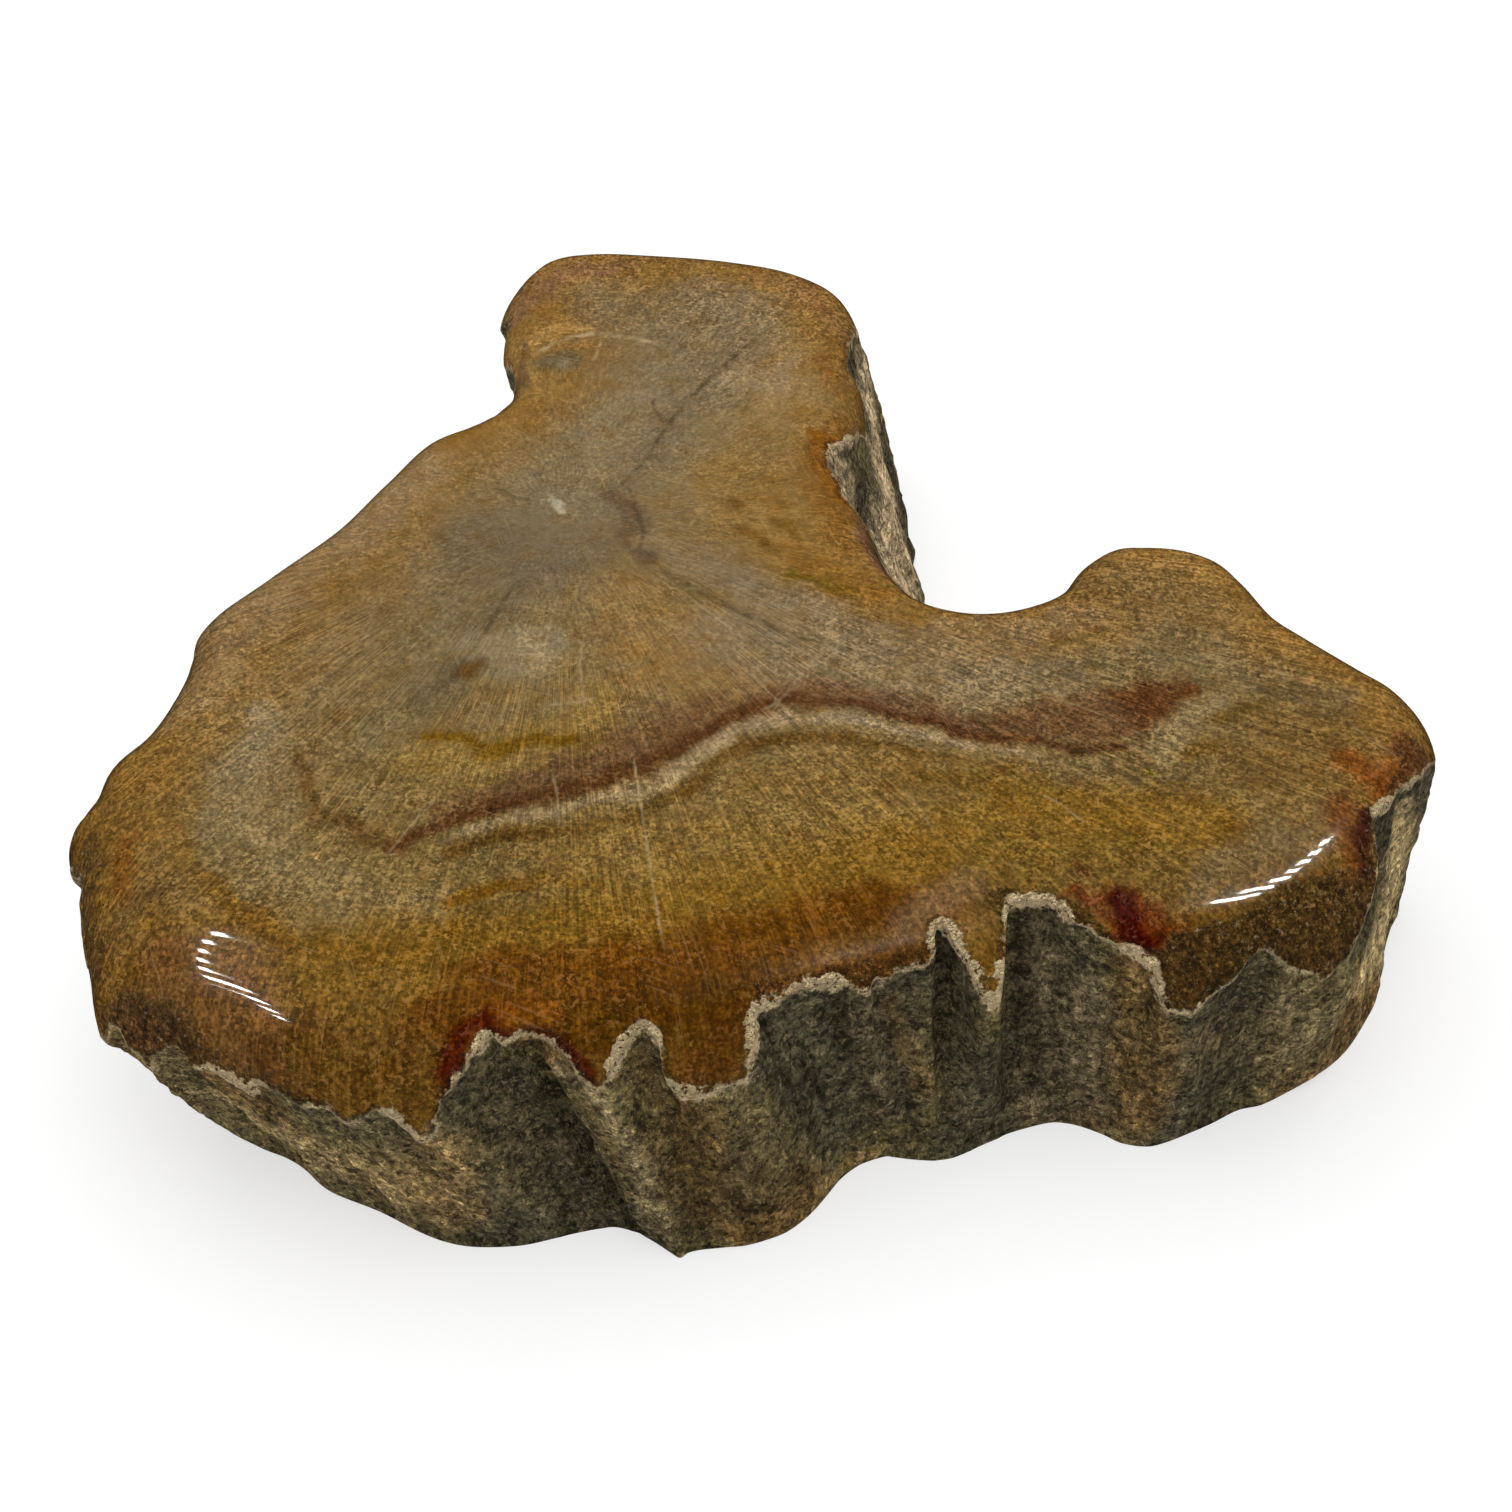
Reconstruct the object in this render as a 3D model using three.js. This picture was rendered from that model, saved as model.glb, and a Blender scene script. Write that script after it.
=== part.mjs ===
// Petrified wood slice: a slab sawn across a fossil root flare, polished on top and rough round its side.
// Millimetres, +Z up. The slab rests on its sawn underside at z = 0, over the middle of its own box.
import * as THREE from 'three';

// Driving dimensions of the slab
const THICKNESS = 38;                  // sawn underside to the flat of the polished face
const SHOULDER_ROUNDNESS = 2.2;        // exponent of the shoulder's curve, where 2 is an ellipse
const SHOULDER_DROP_PER_WIDTH = 0.8;   // a wide shoulder drops a little less than its width
const SHOULDER_DROP_AT_LEAST = 3.2;    // and a narrow one drops a little more
const BOX_CENTRE = [1.5, -4.65];       // middle of the drawn outlines' box, taken off every point

// Fineness of the faceted surface
const SAMPLES_PER_STATION = 2;
const SIDE_ROWS = 10;
const SHOULDER_ROWS = 6;
const OUTLINE_STEPS = 12;              // samples of the polished outline between two of its points
const PLACE_PASSES = 30;               // rounds of averaging that even out the inner ring's points
const INWARD_PASSES = 400;             // rounds of averaging that keep the inner ring clear of itself
const INSET_BUNCHING = 1.5;            // above 1, shoulder rows crowd towards the rim, where it bends most

// Ripples of the rough side between rim and foot: waves round the slab, depth, phase
const RIPPLES = [
  { waves: 23, depth: 0.35, phase: 0.4 },
  { waves: 37, depth: 0.3, phase: 2.1 },
  { waves: 53, depth: 0.25, phase: 4.4 },
];
const RIPPLE_TWIST = 1.5;              // how far a ripple's phase turns from foot to rim, in radians

// The outline that the polished dome would have with no flutes, counter-clockwise from the left tip:
// x, y and the width of the rounded shoulder there
const POLISHED_OUTLINE = [
  // left tip and the wide shoulder along the front
  [-81.4, -39.8, 11], [-83.3, -46, 13], [-82, -52, 14], [-80, -58, 15], [-75.6, -69, 16], [-68.7, -74, 16],
  [-60, -77.3, 16], [-50, -81, 16], [-40, -83.2, 16], [-29, -83.2, 16], [-18, -82, 16],
  [-7, -80.6, 16], [4, -77.6, 16], [15, -74, 16], [27, -70.8, 16], [39, -69.4, 16],
  [51, -68.2, 16], [62, -65.4, 16], [70.5, -60.5, 15],
  // right lobe, where the shoulder narrows
  [76.5, -53, 13], [80.6, -44, 11], [84.3, -36, 9], [84.4, -29.6, 8], [81.6, -23.6, 7],
  [77.5, -19.2, 7], [72, -13.5, 7], [68.3, -9.3, 7], [65.5, -3, 7], [62, 2, 7],
  [56, 4.6, 7], [48, 4.8, 7], [42.8, 1.3, 7],
  // bay between the lobes
  [39.3, -4, 7], [34, -7.3, 7], [27.5, -8.2, 7], [21.3, -5.3, 7], [17.3, 3.5, 7],
  // upper lobe
  [16.2, 16, 8], [15.6, 29, 8], [16, 42, 7], [16.2, 53, 6], [13.5, 62.5, 6],
  [6.5, 68.5, 6], [-3.5, 72, 6], [-15, 73.8, 6], [-25.5, 74.2, 6], [-33, 71.5, 6],
  [-37.3, 64, 6], [-38.8, 56, 6], [-37.2, 47.5, 6], [-35.6, 38.6, 6], [-39.4, 31.6, 6],
  // long slanting back of the left lobe
  [-47, 26.6, 6], [-52.2, 17.6, 6], [-57.6, 7.6, 6], [-65.4, -2.4, 6], [-72.2, -10.9, 7],
  [-73.5, -20.4, 8], [-76.4, -29.8, 9], [-80.3, -35.2, 10],
];

// Stations round the rough side, counter-clockwise from the left tip: x and y on the rim, where the
// polish ends, then x and y of the foot that the grain leads down to. The rim's height follows from
// the polished dome above it.
const SIDE_STATIONS = [
  // left edge, undercut by the leaning grain
  [-81.6, -39.6, -74.5, -37.5], [-83.5, -44.4, -73.8, -42.5], [-82.8, -49, -72, -47.5],
  [-80.4, -53, -71.5, -52], [-80, -58, -69, -56.5], [-78.2, -62.5, -67.5, -60.5],
  // front left corner and the flat facet beside it
  [-76, -68.6, -66, -64.8], [-69.3, -73.4, -61, -68], [-65.6, -74.4, -57.5, -69.6],
  [-63, -75.8, -55, -71.3], [-58, -77.8, -51.5, -74.5], [-54.7, -79, -45.2, -77.4],
  // broad low front left, the rim at its lowest
  [-51, -80.4, -40.1, -80.3], [-47.7, -81.6, -36.5, -81.8], [-45.4, -82.2, -33, -82.4],
  [-39.7, -83, -28, -82.2], [-36.1, -83.3, -24, -81.2],
  // large arched flute with a spike at its top left
  [-33.7, -81.8, -22, -80.6], [-31.4, -79.7, -20, -80.1], [-29.4, -77.4, -18.5, -79.8],
  [-27.9, -78.5, -16.8, -79.6], [-25.4, -77.8, -14.7, -80.2], [-22.1, -78.5, -12.5, -81.4],
  // sharp leaning ridge that ends in a spur at the foot
  [-20, -79.9, -10.2, -83.1], [-17.3, -80.8, -9, -83.9], [-16.1, -80, -8, -83.2],
  // small arched flute and the brown bulge right of it
  [-14.4, -78, -6.6, -82.8], [-12.8, -76.8, -5, -82.6], [-11.1, -77.8, -3.2, -82.4],
  [-10.1, -79.6, -1.3, -82.2], [-7.4, -80.2, 1, -81.5], [-4, -79.4, 3.5, -80.4],
  [-0.9, -78.1, 5.5, -78.8], [-0.5, -76.2, 7, -77.2],
  // long dark flute, high on the shoulder
  [-0.1, -73.8, 8.5, -75.2], [2.1, -72.8, 10.2, -72.8], [4.9, -71.8, 12, -71.1],
  [8.3, -70.6, 13.5, -70.2], [11.1, -70.6, 15.8, -69.4], [13, -70.7, 17, -69.5],
  [16.2, -68.2, 19, -69.8], [19.6, -67.2, 21.5, -70],
  // narrow notch, then a tongue of polish that hangs between two flutes
  [20.3, -64.2, 22.5, -69.9], [21.4, -63.6, 23.2, -69.8], [23.1, -66, 24.3, -69.5],
  [25.2, -68.6, 26, -68.7], [26.6, -69.4, 27.4, -67.9], [28.2, -69.2, 28.8, -67.2],
  [28.5, -66.4, 29.8, -66.7],
  // wide deep flute
  [28.7, -61, 31, -66], [31.3, -60.3, 33.5, -65.1], [34.1, -61, 36.4, -64.3],
  [36.9, -62.8, 38.5, -64.4], [40.3, -64.3, 40.5, -65], [43.2, -64.9, 43, -66.2],
  [45.5, -66, 45, -67.4],
  // brown ridge and the shallow flute in the right front
  [46.8, -67.9, 48, -67.9], [49.9, -68, 50.4, -67.3], [52.3, -67, 53.5, -65.9],
  [55.4, -65.3, 56.5, -64.4], [58.4, -63.6, 60, -62.4], [61.5, -64, 63, -61.6],
  [65.5, -63, 66.3, -59.8], [68.8, -61, 69.8, -57.6],
  // right front corner, with a bite in the rim
  [70.8, -58.5, 73.2, -55], [72.2, -55.7, 75.8, -52.2], [73.3, -51.6, 78.6, -48],
  [73.1, -47.1, 80.5, -44.6], [76.6, -42.6, 82, -39.5], [81.4, -37, 83.6, -35],
  // right tip and the back of the right lobe
  [83.9, -33.4, 85.2, -31], [83.4, -28.2, 86.5, -26.4], [80.9, -23.4, 84.2, -21.4],
  [77, -19.9, 80.5, -17.2], [73.4, -16.6, 76.5, -13], [69.8, -12, 73, -10],
  [67.4, -8, 71.5, -5.5], [64.6, -3.5, 69, -1], [61.4, 1.2, 66.5, 3.8], [56, 4, 61, 6.8],
  [51, 3.4, 55.5, 5.6], [47.3, 4, 51, 7.4], [42.7, 0.6, 47.8, 3.6],
  // bay
  [39.4, -4.4, 44.6, -1.4], [34.3, -7.4, 41, -3.6], [30.5, -9.2, 37.2, -5], [25, -8, 33.5, -2.8],
  [21.3, -5.7, 31.2, 0.8], [18.4, -1.2, 28.6, 5], [17.1, 3.3, 28.2, 9.5],
  // side of the upper lobe that flares towards its foot, with a bite in the rim
  [15.4, 7.7, 27.2, 14], [12.7, 11.4, 27.2, 19], [11.4, 15.3, 26.3, 23.5], [9.9, 19.6, 26.4, 28],
  [10.2, 22.6, 25.6, 31.5], [13.2, 26.8, 25.8, 35], [15.1, 33.2, 24.4, 39.5],
  [15.9, 39.5, 24.4, 44.5], [13.4, 42.8, 24, 49.5], [13.7, 47, 24, 54.5],
  [14.1, 51.2, 23.2, 59.5], [15.4, 55.5, 22.8, 64.5],
  // head of the upper lobe
  [13, 62.4, 20.9, 69.3], [9.4, 65.6, 16.4, 71.2], [5, 68.8, 12.2, 73.2], [-1, 70.4, 6, 72.8],
  [-7, 72.4, 0, 74.4], [-13, 72.6, -6, 73.4], [-19, 73.8, -12, 74.6], [-25.3, 73.6, -18.5, 74],
  [-30.5, 72, -24, 74.2], [-34, 69, -28.3, 71.6], [-36.6, 64.5, -30, 68.2],
  // chipped left side of the upper lobe
  [-38.5, 59, -31.4, 62], [-36.9, 54.5, -29, 57.2], [-37.4, 49, -29.2, 51.8],
  [-35.3, 43.5, -26.8, 46.8], [-35.4, 38.6, -26.8, 42], [-38.6, 32.8, -29.6, 37.4],
  // long slanting back of the left lobe
  [-43, 29.6, -33.6, 33.2], [-46.2, 26.8, -36, 31.2], [-49.4, 21.4, -39.8, 26.6],
  [-51.4, 18.2, -42, 21.4], [-55, 11.8, -45.6, 17.2], [-57.4, 6.8, -48.8, 12],
  [-60.8, 2.6, -51.6, 7.8], [-65.8, -2.8, -55.4, 2.8], [-68.4, -7.2, -59.6, -1.6],
  [-72.8, -12.4, -62.2, -5.6], [-72, -15.8, -64.4, -9.6], [-73.2, -19, -64.8, -13.6],
  [-73.8, -23.4, -67, -19], [-75.4, -28.8, -68, -25.4], [-79.9, -34.8, -71.8, -31],
];

const OUTLINE_TURN = SIDE_STATIONS.length * SAMPLES_PER_STATION;

// A smooth closed curve through points of three numbers
function closedCurve(points) {
  return new THREE.CatmullRomCurve3(points.map((p) => new THREE.Vector3(...p)), true, 'catmullrom', 0.5);
}

// Evenly stepped points of a closed curve, as many as asked for
function sampleClosed(curve, count) {
  return Array.from({ length: count }, (_, i) => curve.getPoint(i / count));
}

// The direction into the slab at one point of a counter-clockwise ring
function inwardAt(ring, i) {
  const before = ring[(i - 1 + ring.length) % ring.length];
  const after = ring[(i + 1) % ring.length];
  return new THREE.Vector2(before.y - after.y, after.x - before.x).normalize();
}

// Round a closed list, every entry averaged with its two neighbours, many times over
function evenedOut(list, passes, average) {
  let now = list;
  for (let pass = 0; pass < passes; pass += 1) {
    now = now.map((value, i) => average(now.at(i - 1), value, now[(i + 1) % now.length]));
  }
  return now;
}

const averageNumber = (before, value, after) => (before + 2 * value + after) / 4;
const averagePoint = (before, value, after) => (
  value.clone().multiplyScalar(2).add(before).add(after).multiplyScalar(0.25));

const polishedOutline = sampleClosed(closedCurve(POLISHED_OUTLINE), POLISHED_OUTLINE.length * OUTLINE_STEPS);
const polishedInward = polishedOutline.map((_, i) => inwardAt(polishedOutline, i));
const easedInward = evenedOut(polishedInward, INWARD_PASSES, averagePoint);

// Number of the polished outline's point that is nearest to a place
function nearestOnOutline(x, y) {
  let nearest = 0;
  let least = Infinity;
  polishedOutline.forEach((p, i) => {
    const squared = (p.x - x) ** 2 + (p.y - y) ** 2;
    if (squared < least) {
      least = squared;
      nearest = i;
    }
  });
  return nearest;
}

// How far across the shoulder a place is: 1 on the polished outline, 0 where the face is flat
function acrossShoulder(x, y) {
  const nearest = nearestOnOutline(x, y);
  const edge = polishedOutline[nearest];
  const inward = polishedInward[nearest];
  const depth = (x - edge.x) * inward.x + (y - edge.y) * inward.y;
  return { across: THREE.MathUtils.clamp(1 - depth / edge.z, 0, 1), width: edge.z };
}

// Height of the polished dome: flat inside, and falling along a superellipse across the shoulder
function domeHeight({ across, width }) {
  const drop = SHOULDER_DROP_AT_LEAST + SHOULDER_DROP_PER_WIDTH * width;
  return THICKNESS - drop * (1 - (1 - across ** SHOULDER_ROUNDNESS) ** (1 / SHOULDER_ROUNDNESS));
}

// Outward push of the rough side at a share of the way round and a share of the way up
function ripple(around, up) {
  const fade = Math.sin(Math.PI * up);
  const waves = RIPPLES.map(({ waves: count, depth, phase }) => (
    depth * Math.sin(2 * Math.PI * count * around + phase + RIPPLE_TWIST * up)));
  return fade * waves.reduce((sum, value) => sum + value, 0);
}

// Rows of the rough side, from the foot to the rim
function sideRows() {
  const rim = sampleClosed(closedCurve(SIDE_STATIONS.map(([x, y]) => [x, y, 0])), OUTLINE_TURN);
  const foot = sampleClosed(closedCurve(SIDE_STATIONS.map((s) => [s[2], s[3], 0])), OUTLINE_TURN);
  const footInward = foot.map((_, i) => inwardAt(foot, i));
  return Array.from({ length: SIDE_ROWS + 1 }, (_, row) => {
    const up = row / SIDE_ROWS;
    return rim.map((top, i) => {
      const push = ripple(i / OUTLINE_TURN, up);
      const x = THREE.MathUtils.lerp(foot[i].x, top.x, up) - push * footInward[i].x;
      const y = THREE.MathUtils.lerp(foot[i].y, top.y, up) - push * footInward[i].y;
      return new THREE.Vector3(x, y, up * domeHeight(acrossShoulder(top.x, top.y)));
    });
  });
}

// A list's value at a place between two of its points, going round
function between(list, place) {
  const low = Math.floor(place);
  const from = list[THREE.MathUtils.euclideanModulo(low, list.length)];
  const to = list[THREE.MathUtils.euclideanModulo(low + 1, list.length)];
  return from.clone().lerp(to, place - low);
}

// The smooth ring inside the shoulder, with one point for each point of the rim
function innerRing(rim) {
  const total = polishedOutline.length;
  const step = total / rim.length;
  const leads = rim.map((p, i) => {
    const lead = nearestOnOutline(p.x, p.y) - i * step;
    return THREE.MathUtils.euclideanModulo(lead + total / 2, total) - total / 2;
  });
  return evenedOut(leads, PLACE_PASSES, averageNumber).map((lead, i) => {
    const edge = between(polishedOutline, lead + i * step);
    const inward = between(easedInward, lead + i * step);
    return new THREE.Vector2(edge.x + inward.x * edge.z, edge.y + inward.y * edge.z);
  });
}

// Rows of the polished shoulder, from the rim to the inner ring where the face is flat
function shoulderRows(rim) {
  const inner = innerRing(rim);
  const starts = rim.map((p) => acrossShoulder(p.x, p.y));
  return Array.from({ length: SHOULDER_ROWS }, (_, row) => {
    const along = ((row + 1) / SHOULDER_ROWS) ** INSET_BUNCHING;
    return rim.map((edge, i) => {
      const x = THREE.MathUtils.lerp(edge.x, inner[i].x, along);
      const y = THREE.MathUtils.lerp(edge.y, inner[i].y, along);
      const { across, width } = starts[i];
      return new THREE.Vector3(x, y, domeHeight({ across: across * (1 - along), width }));
    });
  });
}

// Closed skin over stacked rings: quads between rings, and the lowest and highest ring filled flat
function skinOver(rings) {
  const around = rings[0].length;
  const positions = rings.flat().flatMap((p) => [p.x - BOX_CENTRE[0], p.y - BOX_CENTRE[1], p.z]);
  const triangles = [];
  for (let row = 0; row < rings.length - 1; row += 1) {
    for (let i = 0; i < around; i += 1) {
      const a = row * around + i;
      const b = row * around + ((i + 1) % around);
      triangles.push(a, b, b + around, a, b + around, a + around);
    }
  }
  const lowest = THREE.ShapeUtils.triangulateShape(rings[0].map((p) => new THREE.Vector2(p.x, p.y)), []);
  lowest.forEach(([a, b, c]) => triangles.push(a, c, b));
  const last = (rings.length - 1) * around;
  const highest = THREE.ShapeUtils.triangulateShape(
    rings[rings.length - 1].map((p) => new THREE.Vector2(p.x, p.y)),
    [],
  );
  highest.forEach(([a, b, c]) => triangles.push(last + a, last + b, last + c));
  const geometry = new THREE.BufferGeometry();
  geometry.setAttribute('position', new THREE.Float32BufferAttribute(positions, 3));
  geometry.setIndex(triangles);
  geometry.computeVertexNormals();
  return geometry;
}

const side = sideRows();
const shoulder = shoulderRows(side[SIDE_ROWS]);
const stone = new THREE.MeshStandardMaterial({ color: 0x826941, roughness: 0.35, metalness: 0 });
const slice = new THREE.Mesh(skinOver([...side, ...shoulder]), stone);
slice.name = 'petrified_wood_slice';

const part = new THREE.Group();
part.add(slice);

export default part;
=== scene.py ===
"""Petrified wood slice: a slab of fossil root flare, polished on top and rough round its side.

The skin is one closed surface worked out with numpy. Stacked rings climb from the foot over the
rough side to the rim, cross the polished shoulder, and end at a smooth inner ring that a lattice
fills. Stains, veins and cracks are weights on the skin's points, drawn along given lines.

Lengths on the slab are in millimetres, and its mesh is written in metres. Colours are given as the
eye sees them, from 0 to 255, and turned into light values by Tint.
"""
import logging
import math
from dataclasses import dataclass, field
from enum import Enum

import bpy
import numpy as np
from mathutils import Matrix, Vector
from mathutils.geometry import delaunay_2d_cdt


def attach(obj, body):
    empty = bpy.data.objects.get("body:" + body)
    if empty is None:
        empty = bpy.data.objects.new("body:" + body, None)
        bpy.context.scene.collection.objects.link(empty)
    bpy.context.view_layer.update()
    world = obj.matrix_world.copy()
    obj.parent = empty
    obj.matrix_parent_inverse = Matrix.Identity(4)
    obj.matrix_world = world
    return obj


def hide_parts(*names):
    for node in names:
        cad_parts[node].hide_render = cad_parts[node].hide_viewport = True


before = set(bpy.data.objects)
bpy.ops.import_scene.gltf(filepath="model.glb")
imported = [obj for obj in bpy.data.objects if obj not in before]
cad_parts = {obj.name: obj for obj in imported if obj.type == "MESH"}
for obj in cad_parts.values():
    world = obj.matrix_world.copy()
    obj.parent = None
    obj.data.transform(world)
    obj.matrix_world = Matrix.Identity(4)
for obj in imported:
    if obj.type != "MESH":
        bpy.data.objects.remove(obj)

logging.basicConfig(level=logging.INFO, format="%(message)s")
log = logging.getLogger("petrified_wood_slice")

MM = 0.001
NODE = "petrified_wood_slice"
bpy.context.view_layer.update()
PIECE = "polished_slab"
WHITE = (1.0, 1.0, 1.0, 1.0)
CORNERS = np.array([(-1, -1), (1, -1), (1, 1), (-1, 1)])

# A stain counts as thin if its half width stays below this number of millimetres
THIN = 2.3

# Choices of the triangulation: keep the triangles inside the ring, and merge points this close
INSIDE_ONLY = 1
MERGE_WITHIN = 1e-6

Array = np.ndarray
Socket = bpy.types.NodeSocket
Pair = tuple[float, float]
Triple = tuple[float, float, float]
Path = tuple[tuple[float, ...], ...]


class Surface(Enum):
    """The two dressed surfaces of the slab, in the order of its material slots."""

    NATURAL_AND_POLISHED = 0
    SAWN_UNDERSIDE = 1


@dataclass(frozen=True)
class Tint:
    """A colour as the eye sees it, red, green and blue from 0 to 255."""

    red: int
    green: int
    blue: int

    def light(self) -> Array:
        """The same colour as three light values from 0 to 1, by the usual curve of a screen: a
        straight line for the darkest values, and above them a power of 2.4."""
        seen = np.array([self.red, self.green, self.blue]) / 255.0
        return np.where(seen <= 0.04045, seen / 12.92, ((seen + 0.055) / 1.055) ** 2.4)

    def socket(self) -> tuple[float, float, float, float]:
        """The same colour as a shader socket takes it."""
        return (*(float(v) for v in self.light()), 1.0)


@dataclass(frozen=True)
class Stain:
    """A patch, band or vein of colour drawn along a line.

    path holds places and the half width of the stain there. A place is x, y on the polished face,
    and x, y, z on the rough side. soft is the share of the half width over which the edge fades.
    """

    name: str
    tint: Tint
    strength: float
    soft: float
    path: Path

    def is_thin(self) -> bool:
        """Whether the stain is thin all the way."""
        return max(place[-1] for place in self.path) < THIN


@dataclass(frozen=True)
class Groove:
    """A furrow of the rough side, or a ridge where depth is negative, drawn along a line.

    A place of path is x, y, z and the half width of the furrow there.
    """

    name: str
    depth: float
    path: Path


@dataclass(frozen=True)
class Mound:
    """A gentle swelling of the polish round a place: x, y, radius and height."""

    x: float
    y: float
    radius: float
    height: float


@dataclass(frozen=True)
class Hairline:
    """A crack or a scratch: a line of places x, y on the polished face, and its half width."""

    name: str
    strength: float
    half_width: float
    path: Path


# The outline that the polished dome would have with no flutes, counter-clockwise from the left tip:
# x, y and the width of the rounded shoulder there
POLISHED_OUTLINE: Path = (
    # left tip and the wide shoulder along the front
    (-81.4, -39.8, 11), (-83.3, -46, 13), (-82, -52, 14), (-80, -58, 15), (-75.6, -69, 16), (-68.7, -74, 16),
    (-60, -77.3, 16), (-50, -81, 16), (-40, -83.2, 16), (-29, -83.2, 16), (-18, -82, 16),
    (-7, -80.6, 16), (4, -77.6, 16), (15, -74, 16), (27, -70.8, 16), (39, -69.4, 16),
    (51, -68.2, 16), (62, -65.4, 16), (70.5, -60.5, 15),
    # right lobe, where the shoulder narrows
    (76.5, -53, 13), (80.6, -44, 11), (84.3, -36, 9), (84.4, -29.6, 8), (81.6, -23.6, 7),
    (77.5, -19.2, 7), (72, -13.5, 7), (68.3, -9.3, 7), (65.5, -3, 7), (62, 2, 7),
    (56, 4.6, 7), (48, 4.8, 7), (42.8, 1.3, 7),
    # bay between the lobes
    (39.3, -4, 7), (34, -7.3, 7), (27.5, -8.2, 7), (21.3, -5.3, 7), (17.3, 3.5, 7),
    # upper lobe
    (16.2, 16, 8), (15.6, 29, 8), (16, 42, 7), (16.2, 53, 6), (13.5, 62.5, 6),
    (6.5, 68.5, 6), (-3.5, 72, 6), (-15, 73.8, 6), (-25.5, 74.2, 6), (-33, 71.5, 6),
    (-37.3, 64, 6), (-38.8, 56, 6), (-37.2, 47.5, 6), (-35.6, 38.6, 6), (-39.4, 31.6, 6),
    # long slanting back of the left lobe
    (-47, 26.6, 6), (-52.2, 17.6, 6), (-57.6, 7.6, 6), (-65.4, -2.4, 6), (-72.2, -10.9, 7),
    (-73.5, -20.4, 8), (-76.4, -29.8, 9), (-80.3, -35.2, 10),
)

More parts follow.
